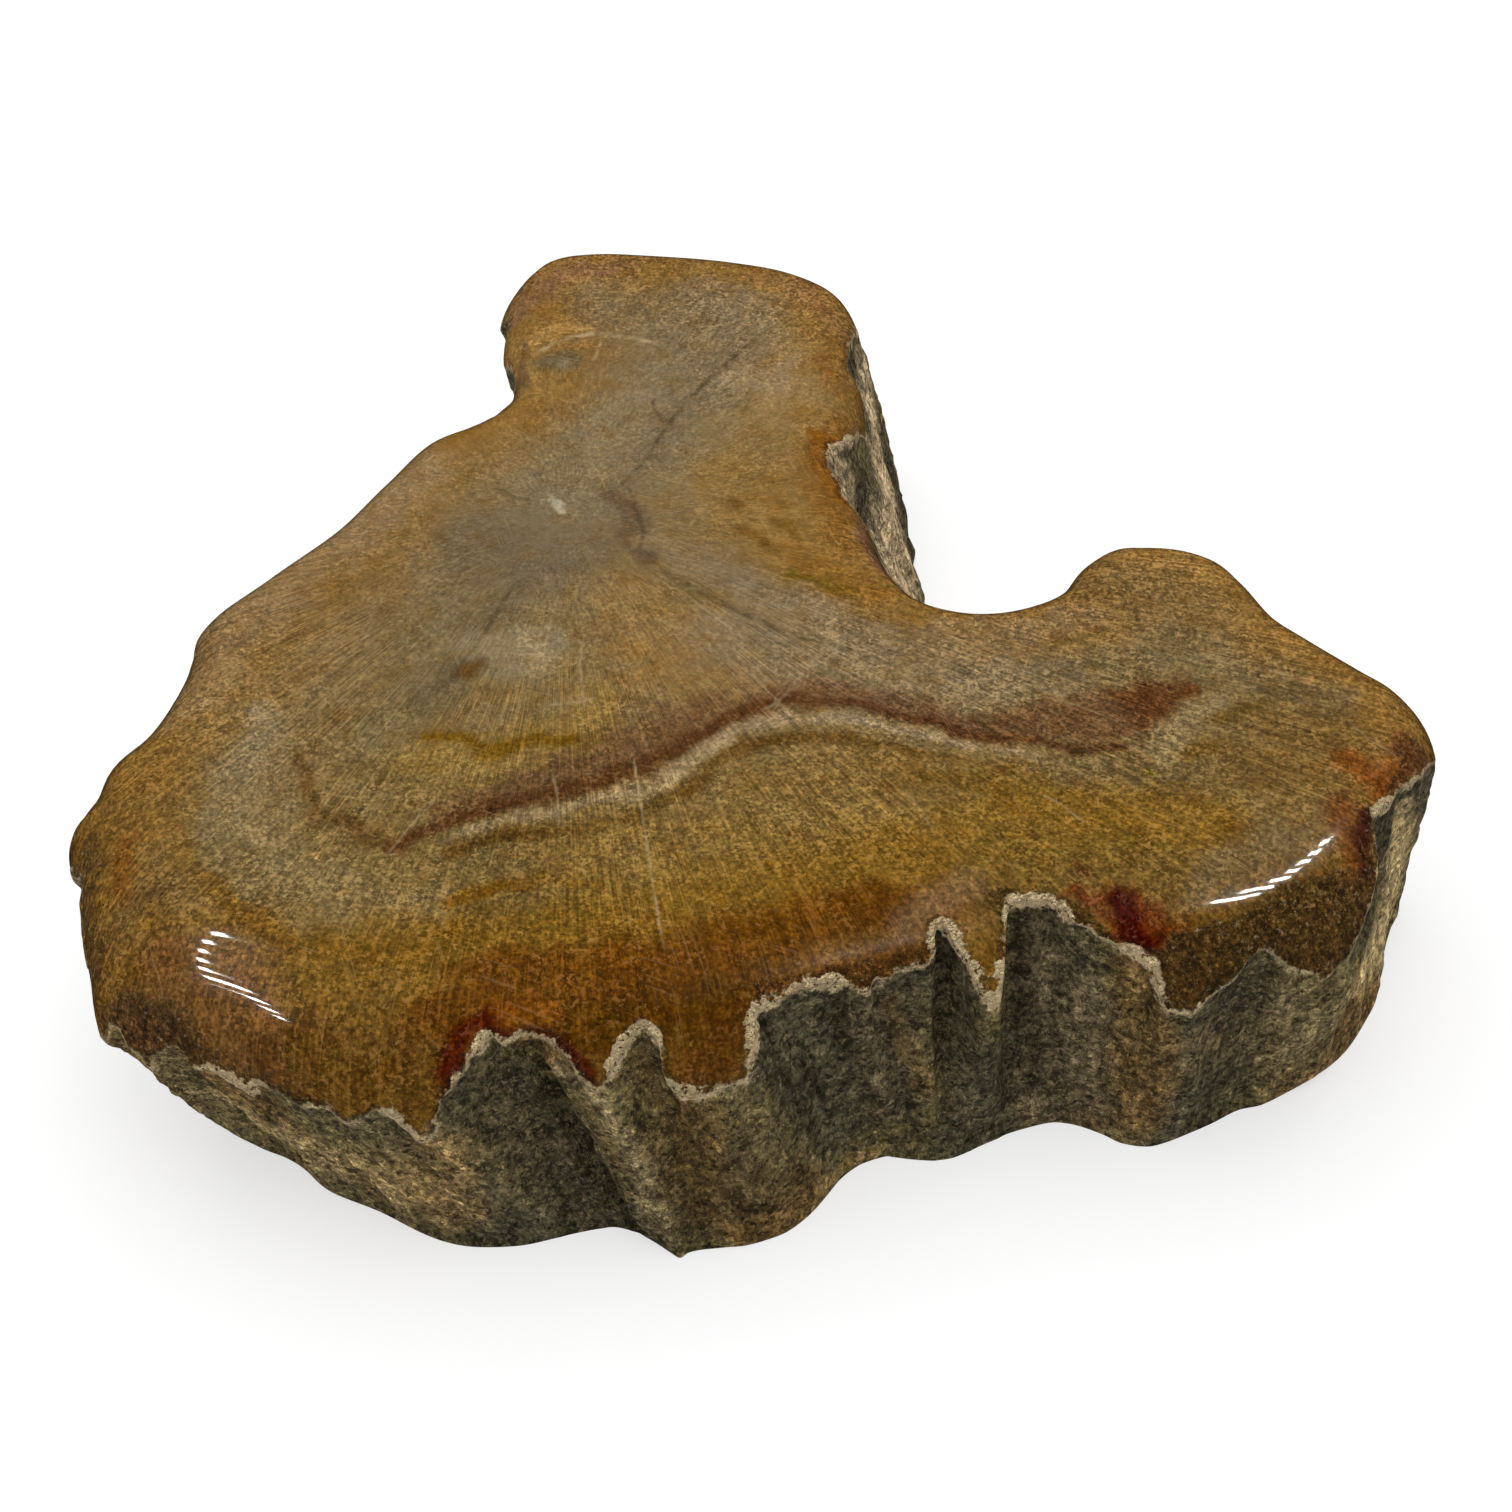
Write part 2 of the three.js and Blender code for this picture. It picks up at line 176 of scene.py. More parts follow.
# Stations round the rough side, counter-clockwise from the left tip: x and y on the rim, where the
# polish ends, then x and y of the foot that the grain leads down to
SIDE_STATIONS: Path = (
    # left edge, undercut by the leaning grain
    (-81.6, -39.6, -74.5, -37.5), (-83.5, -44.4, -73.8, -42.5), (-82.8, -49, -72, -47.5),
    (-80.4, -53, -71.5, -52), (-80, -58, -69, -56.5), (-78.2, -62.5, -67.5, -60.5),
    # front left corner and the flat facet beside it
    (-76, -68.6, -66, -64.8), (-69.3, -73.4, -61, -68), (-65.6, -74.4, -57.5, -69.6),
    (-63, -75.8, -55, -71.3), (-58, -77.8, -51.5, -74.5), (-54.7, -79, -45.2, -77.4),
    # broad low front left, the rim at its lowest
    (-51, -80.4, -40.1, -80.3), (-47.7, -81.6, -36.5, -81.8), (-45.4, -82.2, -33, -82.4),
    (-39.7, -83, -28, -82.2), (-36.1, -83.3, -24, -81.2),
    # large arched flute with a spike at its top left
    (-33.7, -81.8, -22, -80.6), (-31.4, -79.7, -20, -80.1), (-29.4, -77.4, -18.5, -79.8),
    (-27.9, -78.5, -16.8, -79.6), (-25.4, -77.8, -14.7, -80.2), (-22.1, -78.5, -12.5, -81.4),
    # sharp leaning ridge that ends in a spur at the foot
    (-20, -79.9, -10.2, -83.1), (-17.3, -80.8, -9, -83.9), (-16.1, -80, -8, -83.2),
    # small arched flute and the brown bulge right of it
    (-14.4, -78, -6.6, -82.8), (-12.8, -76.8, -5, -82.6), (-11.1, -77.8, -3.2, -82.4),
    (-10.1, -79.6, -1.3, -82.2), (-7.4, -80.2, 1, -81.5), (-4, -79.4, 3.5, -80.4),
    (-0.9, -78.1, 5.5, -78.8), (-0.5, -76.2, 7, -77.2),
    # long dark flute, high on the shoulder
    (-0.1, -73.8, 8.5, -75.2), (2.1, -72.8, 10.2, -72.8), (4.9, -71.8, 12, -71.1),
    (8.3, -70.6, 13.5, -70.2), (11.1, -70.6, 15.8, -69.4), (13, -70.7, 17, -69.5),
    (16.2, -68.2, 19, -69.8), (19.6, -67.2, 21.5, -70),
    # narrow notch, then a tongue of polish that hangs between two flutes
    (20.3, -64.2, 22.5, -69.9), (21.4, -63.6, 23.2, -69.8), (23.1, -66, 24.3, -69.5),
    (25.2, -68.6, 26, -68.7), (26.6, -69.4, 27.4, -67.9), (28.2, -69.2, 28.8, -67.2),
    (28.5, -66.4, 29.8, -66.7),
    # wide deep flute
    (28.7, -61, 31, -66), (31.3, -60.3, 33.5, -65.1), (34.1, -61, 36.4, -64.3),
    (36.9, -62.8, 38.5, -64.4), (40.3, -64.3, 40.5, -65), (43.2, -64.9, 43, -66.2),
    (45.5, -66, 45, -67.4),
    # brown ridge and the shallow flute in the right front
    (46.8, -67.9, 48, -67.9), (49.9, -68, 50.4, -67.3), (52.3, -67, 53.5, -65.9),
    (55.4, -65.3, 56.5, -64.4), (58.4, -63.6, 60, -62.4), (61.5, -64, 63, -61.6),
    (65.5, -63, 66.3, -59.8), (68.8, -61, 69.8, -57.6),
    # right front corner, with a bite in the rim
    (70.8, -58.5, 73.2, -55), (72.2, -55.7, 75.8, -52.2), (73.3, -51.6, 78.6, -48),
    (73.1, -47.1, 80.5, -44.6), (76.6, -42.6, 82, -39.5), (81.4, -37, 83.6, -35),
    # right tip and the back of the right lobe
    (83.9, -33.4, 85.2, -31), (83.4, -28.2, 86.5, -26.4), (80.9, -23.4, 84.2, -21.4),
    (77, -19.9, 80.5, -17.2), (73.4, -16.6, 76.5, -13), (69.8, -12, 73, -10),
    (67.4, -8, 71.5, -5.5), (64.6, -3.5, 69, -1), (61.4, 1.2, 66.5, 3.8), (56, 4, 61, 6.8),
    (51, 3.4, 55.5, 5.6), (47.3, 4, 51, 7.4), (42.7, 0.6, 47.8, 3.6),
    # bay
    (39.4, -4.4, 44.6, -1.4), (34.3, -7.4, 41, -3.6), (30.5, -9.2, 37.2, -5), (25, -8, 33.5, -2.8),
    (21.3, -5.7, 31.2, 0.8), (18.4, -1.2, 28.6, 5), (17.1, 3.3, 28.2, 9.5),
    # side of the upper lobe that flares towards its foot, with a bite in the rim
    (15.4, 7.7, 27.2, 14), (12.7, 11.4, 27.2, 19), (11.4, 15.3, 26.3, 23.5), (9.9, 19.6, 26.4, 28),
    (10.2, 22.6, 25.6, 31.5), (13.2, 26.8, 25.8, 35), (15.1, 33.2, 24.4, 39.5),
    (15.9, 39.5, 24.4, 44.5), (13.4, 42.8, 24, 49.5), (13.7, 47, 24, 54.5),
    (14.1, 51.2, 23.2, 59.5), (15.4, 55.5, 22.8, 64.5),
    # head of the upper lobe
    (13, 62.4, 20.9, 69.3), (9.4, 65.6, 16.4, 71.2), (5, 68.8, 12.2, 73.2), (-1, 70.4, 6, 72.8),
    (-7, 72.4, 0, 74.4), (-13, 72.6, -6, 73.4), (-19, 73.8, -12, 74.6), (-25.3, 73.6, -18.5, 74),
    (-30.5, 72, -24, 74.2), (-34, 69, -28.3, 71.6), (-36.6, 64.5, -30, 68.2),
    # chipped left side of the upper lobe
    (-38.5, 59, -31.4, 62), (-36.9, 54.5, -29, 57.2), (-37.4, 49, -29.2, 51.8),
    (-35.3, 43.5, -26.8, 46.8), (-35.4, 38.6, -26.8, 42), (-38.6, 32.8, -29.6, 37.4),
    # long slanting back of the left lobe
    (-43, 29.6, -33.6, 33.2), (-46.2, 26.8, -36, 31.2), (-49.4, 21.4, -39.8, 26.6),
    (-51.4, 18.2, -42, 21.4), (-55, 11.8, -45.6, 17.2), (-57.4, 6.8, -48.8, 12),
    (-60.8, 2.6, -51.6, 7.8), (-65.8, -2.8, -55.4, 2.8), (-68.4, -7.2, -59.6, -1.6),
    (-72.8, -12.4, -62.2, -5.6), (-72, -15.8, -64.4, -9.6), (-73.2, -19, -64.8, -13.6),
    (-73.8, -23.4, -67, -19), (-75.4, -28.8, -68, -25.4), (-79.9, -34.8, -71.8, -31),
)

FACE_STAINS: tuple[Stain, ...] = (
    Stain("pale tan along the slanting back", Tint(144, 118, 80), 0.65, 0.6, (
        (-46, 22, 4), (-58, 6, 5), (-67.5, -9.5, 5), (-73, -25, 4),
    )),
    Stain("grey-tan field of the left lobe", Tint(144, 122, 90), 0.85, 0.4, (
        (-62, -26, 2.5), (-62.5, -34, 4), (-61.5, -44, 5.5), (-56.5, -51.5, 6), (-50, -56, 5.5),
        (-41.5, -58, 4.5), (-37.5, -57, 3),
    )),
    Stain("grey-tan inner left", Tint(130, 106, 68), 0.7, 0.5, (
        (-48, -10, 6), (-54, -27, 6), (-54, -38, 6), (-47, -47, 6), (-41, -52, 5),
    )),
    Stain("grey heartwood", Tint(122, 104, 72), 0.6, 0.7, (
        (-18, 33, 6), (-25.5, 20, 9), (-34, 6, 10), (-38, -9, 6), (-43, -22, 4), (-47, -30.5, 2.5),
    )),
    Stain("grey field of the upper lobe", Tint(130, 110, 76), 0.65, 0.6, (
        (-10, 60, 7), (-11, 42.5, 9), (-20.5, 28.5, 8),
    )),
    Stain("pith halo", Tint(106, 90, 66), 0.65, 0.8, ((-36.5, 6, 6.5), (-29, 3, 6.5), (-23.5, 6, 4))),
    Stain("pale middle of the pith", Tint(120, 106, 76), 0.6, 0.6, ((-30, 14.5, 5), (-22.5, 15.5, 3))),
    Stain("brown at the fork of the cracks", Tint(104, 84, 60), 0.65, 0.7, (
        (-19.5, 14, 1.8), (-17, 8, 2.2), (-16, 3, 1.4),
    )),
    Stain("dark haze along the long crack", Tint(106, 90, 64), 0.4, 0.8, (
        (1.5, 56, 1), (-4, 50, 2.2), (-9.5, 40.5, 2), (-14, 31, 2.4), (-16.5, 24, 2),
    )),
    Stain("dark haze left of the pith", Tint(100, 86, 60), 0.5, 0.8, (
        (-32, -1, 2), (-35.5, -9.5, 2.6), (-39, -18, 2.2), (-42.5, -24.5, 1.6),
    )),
    Stain("speckled gold of the upper lobe", Tint(144, 110, 54), 0.7, 0.6, (
        (-5.5, 22, 4.5), (-1, 11.5, 8), (4.5, 3, 6),
    )),
    Stain("tan gold right of the crack", Tint(146, 116, 66), 0.6, 0.6, ((3.5, 47.5, 5), (3.5, 33, 6))),
    Stain("amber at the bite of the upper lobe", Tint(122, 80, 26), 0.7, 0.8, (
        (9.5, 35.5, 1.6), (8, 29, 2.6), (8, 22, 3.2), (8.5, 13.5, 2.6), (11, 6, 1.8),
    )),
    Stain("amber rim of the upper lobe", Tint(126, 86, 38), 0.6, 0.7, (
        (11, 53, 1.2), (9.5, 46.5, 2.2), (10, 41.5, 1.6),
    )),
    Stain("amber low in the upper lobe", Tint(136, 92, 30), 0.6, 0.7, (
        (4.5, 3, 3), (10.5, -2, 2.4), (15, -4.5, 1.6),
    )),
    Stain("olive gold under the upper lobe", Tint(118, 92, 24), 0.7, 0.7, (
        (3, 0.5, 1), (6, -1.5, 1.3), (10.5, -3.5, 1),
    )),
    Stain("dark amber specks", Tint(112, 76, 24), 0.7, 0.6, ((-3.5, 9, 0.9), (0, 6, 1))),
    Stain("brown-grey of the upper lobe", Tint(128, 106, 72), 0.6, 0.8, (
        (-24.5, 62.5, 4), (-15.5, 55, 6), (-7, 62.5, 5), (-1, 52.5, 4),
    )),
    Stain("fibrous tan right of the crack", Tint(146, 122, 86), 0.6, 0.7, (
        (-5, 44, 2.5), (0.5, 40.5, 2.6), (3.5, 47.5, 1.5),
    )),
    Stain("fibrous tan left of the crack", Tint(136, 114, 80), 0.35, 0.8, (
        (-24, 45, 2), (-18, 46.5, 2.6), (-20, 35.5, 1.6),
    )),
    Stain("brown fork", Tint(100, 78, 54), 0.7, 0.7, (
        (-21, 17.5, 1.3), (-18.5, 13.5, 1.6), (-17.5, 7, 1.6), (-15, 3.5, 1.2),
    )),
    Stain("pale arm right of the fork", Tint(138, 114, 76), 0.65, 0.5, (
        (-15.5, 7, 1.5), (-9, 3, 2.4), (-1, -2, 2.4), (8, -7, 2.2),
    )),
    Stain("amber beside the bite", Tint(128, 78, 16), 0.8, 0.7, (
        (6.5, 31, 1), (9, 28, 2), (8.5, 22, 1.6), (10, 16, 1.2),
    )),
    Stain("purple-brown edge below the bite", Tint(120, 84, 60), 0.7, 0.6, (
        (12.5, 12, 1), (14, 9.5, 1.8), (15, 2.5, 1.4),
    )),
    Stain("dark specks in the gold", Tint(110, 78, 26), 0.75, 0.7, ((-5, 15.5, 0.7), (-3.5, 14, 0.9))),
    Stain("second dark speck in the gold", Tint(106, 74, 24), 0.75, 0.7, (
        (1, 11.5, 0.6), (3, 10.5, 0.9), (4.5, 7, 0.7),
    )),
    Stain("third dark speck in the gold", Tint(108, 76, 24), 0.7, 0.7, ((-1, 6, 0.6), (1, 4.5, 0.9))),
    Stain("pale fleck at the pith", Tint(176, 162, 130), 0.85, 0.4, (
        (-29, 15.5, 0.55), (-28, 15, 0.8), (-27, 13.5, 0.55),
    )),
    Stain("red-brown corner of the upper lobe", Tint(124, 88, 58), 0.7, 0.7, (
        (-37.5, 58.5, 1.4), (-34.5, 65.5, 2.6), (-29.5, 70, 2.2), (-22, 71.5, 1.4),
    )),
    Stain("brown right head of the upper lobe", Tint(128, 92, 52), 0.6, 0.7, (
        (-1, 70, 1.4), (6, 65, 2.4), (10, 58, 2.2), (12, 52, 1),
    )),
    Stain("ochre corner of the upper lobe", Tint(150, 116, 62), 0.6, 0.7, ((-34, 42, 3), (-36.5, 50.5, 2))),
    Stain("gold streak", Tint(170, 132, 70), 0.7, 0.6, (
        (-34.5, 50.5, 0.9), (-32.5, 53, 1.3), (-29, 55.5, 1.2), (-25.5, 56, 0.6),
    )),
    Stain("brown crease beside the streak", Tint(112, 84, 50), 0.7, 0.6, (
        (-35.5, 52, 0.5), (-35, 46, 0.7), (-34.5, 41, 0.4),
    )),
    Stain("knot", Tint(104, 88, 56), 0.85, 0.45, ((-31.5, 46.5, 2), (-28, 47.5, 2.1))),
    Stain("pale heart of the knot", Tint(132, 118, 86), 0.6, 0.6, ((-29.5, 46.5, 1.1),)),
    Stain("orange gold below the pith", Tint(146, 112, 62), 0.6, 0.7, (
        (-16.5, -5, 5), (-11, -12.5, 7), (-8.5, -22, 4),
    )),
    Stain("orange patch", Tint(146, 104, 46), 0.4, 0.9, (
        (-20, -14.5, 1.6), (-13.5, -14.5, 2.4), (-8.5, -12.5, 1.8), (-18.5, -22, 2), (-19.5, -28, 1.6),
    )),
    Stain("pale speckled patch", Tint(150, 130, 96), 0.75, 0.5, (
        (-36.5, -12.5, 3), (-32.5, -14.5, 4.5), (-28, -12.5, 3),
    )),
    Stain("brown spot", Tint(100, 66, 22), 0.85, 0.7, ((-38, -18.5, 1.4), (-36.5, -17, 1.2))),
    Stain("gold left of the vein", Tint(150, 118, 58), 0.65, 0.6, (
        (-42, -34, 3), (-32.5, -32.5, 4), (-24, -29.5, 4), (-21, -23.5, 3),
    )),
    Stain("olive-gold flakes", Tint(114, 80, 2), 0.85, 0.6, (
        (-41, -30, 0.8), (-36.5, -29.5, 1.1), (-33.5, -32.5, 1.6), (-28.5, -30.5, 1.2), (-23.5, -30.5, 0.9),
    )),
    Stain("tan between vein and bay", Tint(136, 114, 82), 0.85, 0.6, (
        (-5, -12.5, 6), (8, -18, 6), (20, -22, 5), (36.5, -20, 4),
    )),
    Stain("grey-tan band over the right vein", Tint(134, 112, 80), 0.7, 0.5, (
        (-10, 3, 2), (-1, -3, 3.2), (10.5, -10.5, 3), (23, -15.5, 2.6),
    )),
    Stain("gold along the bay", Tint(138, 112, 74), 0.7, 0.7, (
        (22, -12.5, 3), (31.5, -11, 3.5), (40, -8.5, 2.5),
    )),
    Stain("tan of the right lobe", Tint(124, 96, 54), 0.7, 0.7, ((47, -3, 6), (52.5, -9, 7))),
    Stain("grey-tan of the right lobe", Tint(118, 98, 64), 0.7, 0.6, (
        (32.5, -22, 1.5), (41.5, -18, 3), (52, -14.5, 4), (61, -20, 4), (69.5, -23.5, 3),
    )),
    Stain("olive gold of the right lobe", Tint(118, 88, 42), 0.6, 0.6, ((59, -34, 6), (68, -30.5, 6))),
    Stain("purple haze behind the vein", Tint(112, 80, 52), 0.85, 0.8, (
        (-43, -49, 1.2), (-37.5, -43, 2), (-29.5, -39, 3), (-20, -35, 4), (-11, -28, 4), (-1, -23.5, 3),
        (10, -22, 2.6), (22.5, -25.5, 2.2),
    )),
    Stain("purple-brown patch", Tint(104, 72, 46), 0.85, 0.5, (
        (20, -26.5, 1), (26.5, -28, 2.4), (33, -28, 3.2), (40.5, -27, 4), (47, -25.5, 4.2),
    )),
    Stain("purple-brown point", Tint(98, 58, 28), 0.9, 0.6, (
        (47, -25, 4), (51.5, -22.5, 2.2), (53.5, -21.5, 0.8),
    )),
    Stain("dark red-brown vein", Tint(88, 54, 26), 0.9, 0.7, (
        (-44.5, -48.5, 0.8), (-42, -47.5, 1), (-38, -45, 1.3), (-34, -42.5, 1.4), (-27, -40.5, 1.3),
        (-20, -38, 1.3), (-14.5, -34, 1.5), (-9.5, -30.5, 1.4), (-3.5, -26, 1.2), (2.5, -23.5, 1.1),
        (10, -24, 1), (16, -25.5, 0.9), (22, -28, 0.8), (28, -30, 0.8), (35.5, -32, 0.8), (42.5, -32, 0.7),
    )),
    Stain("pale line in front of the vein", Tint(160, 136, 104), 0.75, 0.5, (
        (-36.5, -48, 0.52), (-34.5, -46, 0.72), (-30.5, -44, 0.85), (-24.5, -42.5, 0.85), (-20, -41, 0.85),
        (-16, -39, 1), (-12, -35.5, 1), (-8.5, -32, 1), (-3.5, -29, 1), (2.5, -26.5, 1), (10, -27.5, 0.94),
        (16, -28.5, 0.72), (22, -30, 0.58), (28, -32, 0.52), (34, -34.5, 0.52),
    )),
    Stain("cream in the pale line", Tint(180, 156, 120), 0.55, 0.8, (
        (-18, -40.5, 0.6), (-15.5, -40, 0.9), (-13.5, -38.5, 0.6), (-8, -33.5, 0.7), (-4, -31, 0.6),
    )),
    Stain("brown line in front of the pale line", Tint(92, 62, 14), 0.8, 0.7, (
        (-36.5, -50, 0.8), (-34, -48, 1), (-30, -46.5, 1), (-26, -46, 1), (-21, -46, 0.8), (-15, -42.5, 1),
        (-11.5, -39.5, 1.1), (-7.5, -35.5, 0.9), (-2, -32, 1), (2.5, -30, 1.1), (10, -31, 0.9),
        (16, -32, 0.8), (22, -33.5, 0.8), (29, -35.5, 1.1), (33, -37.5, 0.6),
    )),
    Stain("left loop of the vein", Tint(98, 68, 32), 0.7, 0.8, (
        (-57, -33, 0.9), (-56, -38, 1.1), (-53.5, -42, 1), (-50.5, -43, 1.1), (-47.5, -46, 1),
        (-44.5, -48, 0.9),
    )),
    Stain("brown mark at the left of the loop", Tint(112, 84, 44), 0.5, 0.8, (
        (-56.5, -33, 0.9), (-54.5, -29.5, 0.8), (-51.5, -26, 0.6),
    )),
    Stain("gold below the left field", Tint(128, 90, 28), 0.7, 0.6, (
        (-65, -53.5, 1), (-60, -59, 1.6), (-54, -63.5, 2), (-47, -65.5, 2), (-40, -64.5, 1.6),
        (-35, -61, 1.2),
    )),
    Stain("gold lip low in the left field", Tint(126, 86, 14), 0.85, 0.6, (
        (-36.5, -57, 0.9), (-34, -55.5, 1.2), (-31, -54, 1), (-26, -53.5, 0.9), (-19.5, -54, 0.7),
    )),
    Stain("ochre field in front of the vein", Tint(138, 108, 58), 0.75, 0.6, (
        (-24, -50.5, 5), (-10.5, -49, 8), (6, -40.5, 8), (21.5, -40.5, 7), (36.5, -42.5, 6),
    )),
    Stain("olive brown in front of the vein", Tint(114, 84, 26), 0.6, 0.6, (
        (18, -36, 1.5), (27.5, -38.5, 2.6), (36, -40, 2.2),
    )),
    Stain("brown wash in front of the vein", Tint(116, 84, 34), 0.5, 0.7, (
        (10, -34, 1.6), (19, -38, 2.4), (28.5, -40.5, 2),
    )),
    Stain("grey patch right of the long patch", Tint(116, 94, 60), 0.75, 0.6, (
        (34, -35, 1.2), (40, -35, 2), (46, -35, 2.4), (49, -39, 3),
    )),
    Stain("pale hook at the right", Tint(146, 124, 86), 0.8, 0.5, (
        (47.5, -32.5, 1.8), (48.5, -29, 2), (52, -25.5, 2), (56, -24.5, 1.3),
    )),
    Stain("brown spot in the hook", Tint(112, 82, 28), 0.8, 0.7, (
        (50.5, -32.5, 1), (52.5, -31, 1.4), (54, -31.5, 0.8),
    )),
    Stain("olive line from the hook", Tint(106, 82, 30), 0.7, 0.8, (
        (55.5, -27.5, 0.6), (59, -26, 0.8), (61.5, -24, 0.8),
    )),
    Stain("olive fleck", Tint(124, 112, 16), 0.7, 0.7, ((45, -36, 0.7),)),
    Stain("gold field along the front", Tint(136, 100, 34), 0.85, 0.6, (
        (-49, -65, 5), (-35.5, -64, 6), (-19, -62.5, 7), (-1, -56.5, 7), (15, -50.5, 6), (33, -45.5, 6),
        (50.5, -44, 5),
    )),
    Stain("amber along the front", Tint(110, 66, 6), 0.95, 0.6, (
        (-38.5, -72, 3), (-27.5, -67.5, 4), (-14.5, -67, 5), (-1, -62, 4.5), (10.5, -57.5, 3.5),
        (19.5, -55.5, 2),
    )),
    Stain("brown shoulder above the skirt", Tint(116, 82, 38), 0.8, 0.6, (
        (-54.5, -73.5, 3), (-45, -75.5, 4), (-36, -76, 3.5),
    )),
    Stain("dark amber above the arches", Tint(96, 60, 8), 0.9, 0.7, (
        (-23, -72.5, 1.8), (-17.5, -71.5, 2), (-12, -71, 2.6), (-5.5, -70.5, 2.6), (-2.5, -67.5, 1.6),
    )),
    Stain("brown polished tongue", Tint(110, 66, 22), 0.8, 0.5, (
        (-9, -75, 1.4), (-5, -73, 2), (-3, -71, 1.6),
    )),
    Stain("dark red round the spike", Tint(88, 26, 2), 0.95, 0.6, (
        (-36, -76, 1), (-34, -73.5, 1.2), (-31, -71.5, 1), (-29, -72, 0.9), (-25, -73, 0.9),
        (-22, -74, 0.9), (-19.5, -75.5, 0.8),
    )),
    Stain("bright amber over the arch", Tint(140, 82, 2), 0.7, 0.8, (
        (-29.5, -70.5, 0.9), (-27, -70.5, 1.3), (-23, -71, 0.8),
    )),
    Stain("olive-brown left of the arch", Tint(124, 88, 30), 0.6, 0.7, (
        (-49, -76.5, 2), (-41, -78, 2.4), (-37.5, -78, 2),
    )),
    Stain("red-brown crust over the long flute", Tint(104, 62, 20), 0.4, 0.7, (
        (-1, -67.5, 1.4), (3.5, -65.5, 1.7), (8, -64, 1.5), (12.5, -62.5, 1.6), (17.5, -60, 1.6),
    )),
    # Painted sheen: a pale haze of reflected light painted beside the highlight
    Stain("grey-purple sheen right of it", Tint(160, 128, 100), 0.5, 0.8, (
        (15, -58.5, 1.6), (19, -55.5, 2), (24, -53, 1.6),
    )),
    Stain("olive field at the right front", Tint(124, 96, 44), 0.7, 0.6, (
        (27, -49, 5), (38, -51.5, 5), (49.5, -53, 4),
    )),
    Stain("brown fleck right", Tint(92, 46, 16), 0.7, 0.8, ((35.5, -51, 0.9), (36.5, -52, 0.7))),
    Stain("red stain", Tint(112, 42, 2), 0.85, 0.7, (
        (35, -55, 1), (39, -56, 2), (43.5, -58, 2.6), (46.5, -58.5, 2),
    )),
    Stain("deep red of the stain", Tint(72, 10, 2), 0.95, 0.6, (
        (39.5, -55.5, 1.3), (41, -57.5, 1.2), (43.5, -59.5, 1.5), (45, -60, 1.2),
    )),
    Stain("pit in the stain", Tint(40, 8, 4), 0.9, 0.5, ((42, -60, 0.7), (44.5, -60.5, 0.8))),
    Stain("brown skirt at the right front", Tint(112, 80, 28), 0.8, 0.6, (
        (45.5, -62.5, 2.2), (48, -61.5, 3), (54, -57.5, 3.4), (61, -55.5, 3.4), (67, -52.5, 2.6),
    )),
    Stain("olive brown oval", Tint(112, 84, 36), 0.6, 0.5, ((57.5, -57, 2.4), (60, -57, 2.4))),
    # Painted sheen: a pale haze of reflected light painted round the highlight
    Stain("grey sheen of the right shoulder", Tint(128, 110, 86), 0.5, 0.8, (
        (48.5, -53, 2), (57, -48.5, 3), (66, -45, 3),
    )),
    Stain("rust of the right tip", Tint(134, 74, 24), 0.8, 0.7, (
        (69.5, -34, 2.2), (72.5, -38.5, 2.2), (77, -33, 2), (78.5, -30.5, 1.6),
    )),
    Stain("rust low at the right tip", Tint(126, 66, 28), 0.7, 0.8, (
        (67.5, -42, 1.6), (68, -47.5, 1.8), (69.5, -50, 1.6),
    )),
    Stain("dark red pit at the right", Tint(62, 18, 18), 0.9, 0.6, (
        (70.5, -42, 0.8), (70, -45.5, 1.3), (69.5, -49, 1),
    )),
    Stain("purple left front corner", Tint(124, 84, 56), 0.7, 0.6, (
        (-69.5, -63, 2.2), (-65, -66, 3.6), (-59.5, -69, 3.4), (-56, -72.5, 2.4),
    )),
    Stain("tan left front", Tint(124, 98, 66), 0.6, 0.7, ((-74, -58.5, 2.5), (-71, -53, 3), (-66, -56.5, 3))),
    Stain("rust left edge", Tint(122, 72, 26), 0.6, 0.9, (
        (-75, -46.5, 1.2), (-75.5, -51.5, 1.3), (-74.5, -55, 1),
    )),
    Stain("gold left edge", Tint(130, 96, 46), 0.7, 0.7, ((-72, -34, 3), (-76.5, -41.5, 3), (-72.5, -44, 3))),
    Stain("brown chips at the left corner", Tint(84, 54, 32), 0.6, 0.6, (
        (-72, -67.5, 0.64), (-68.5, -68.5, 0.8), (-67.5, -69.5, 0.64),
    )),
)

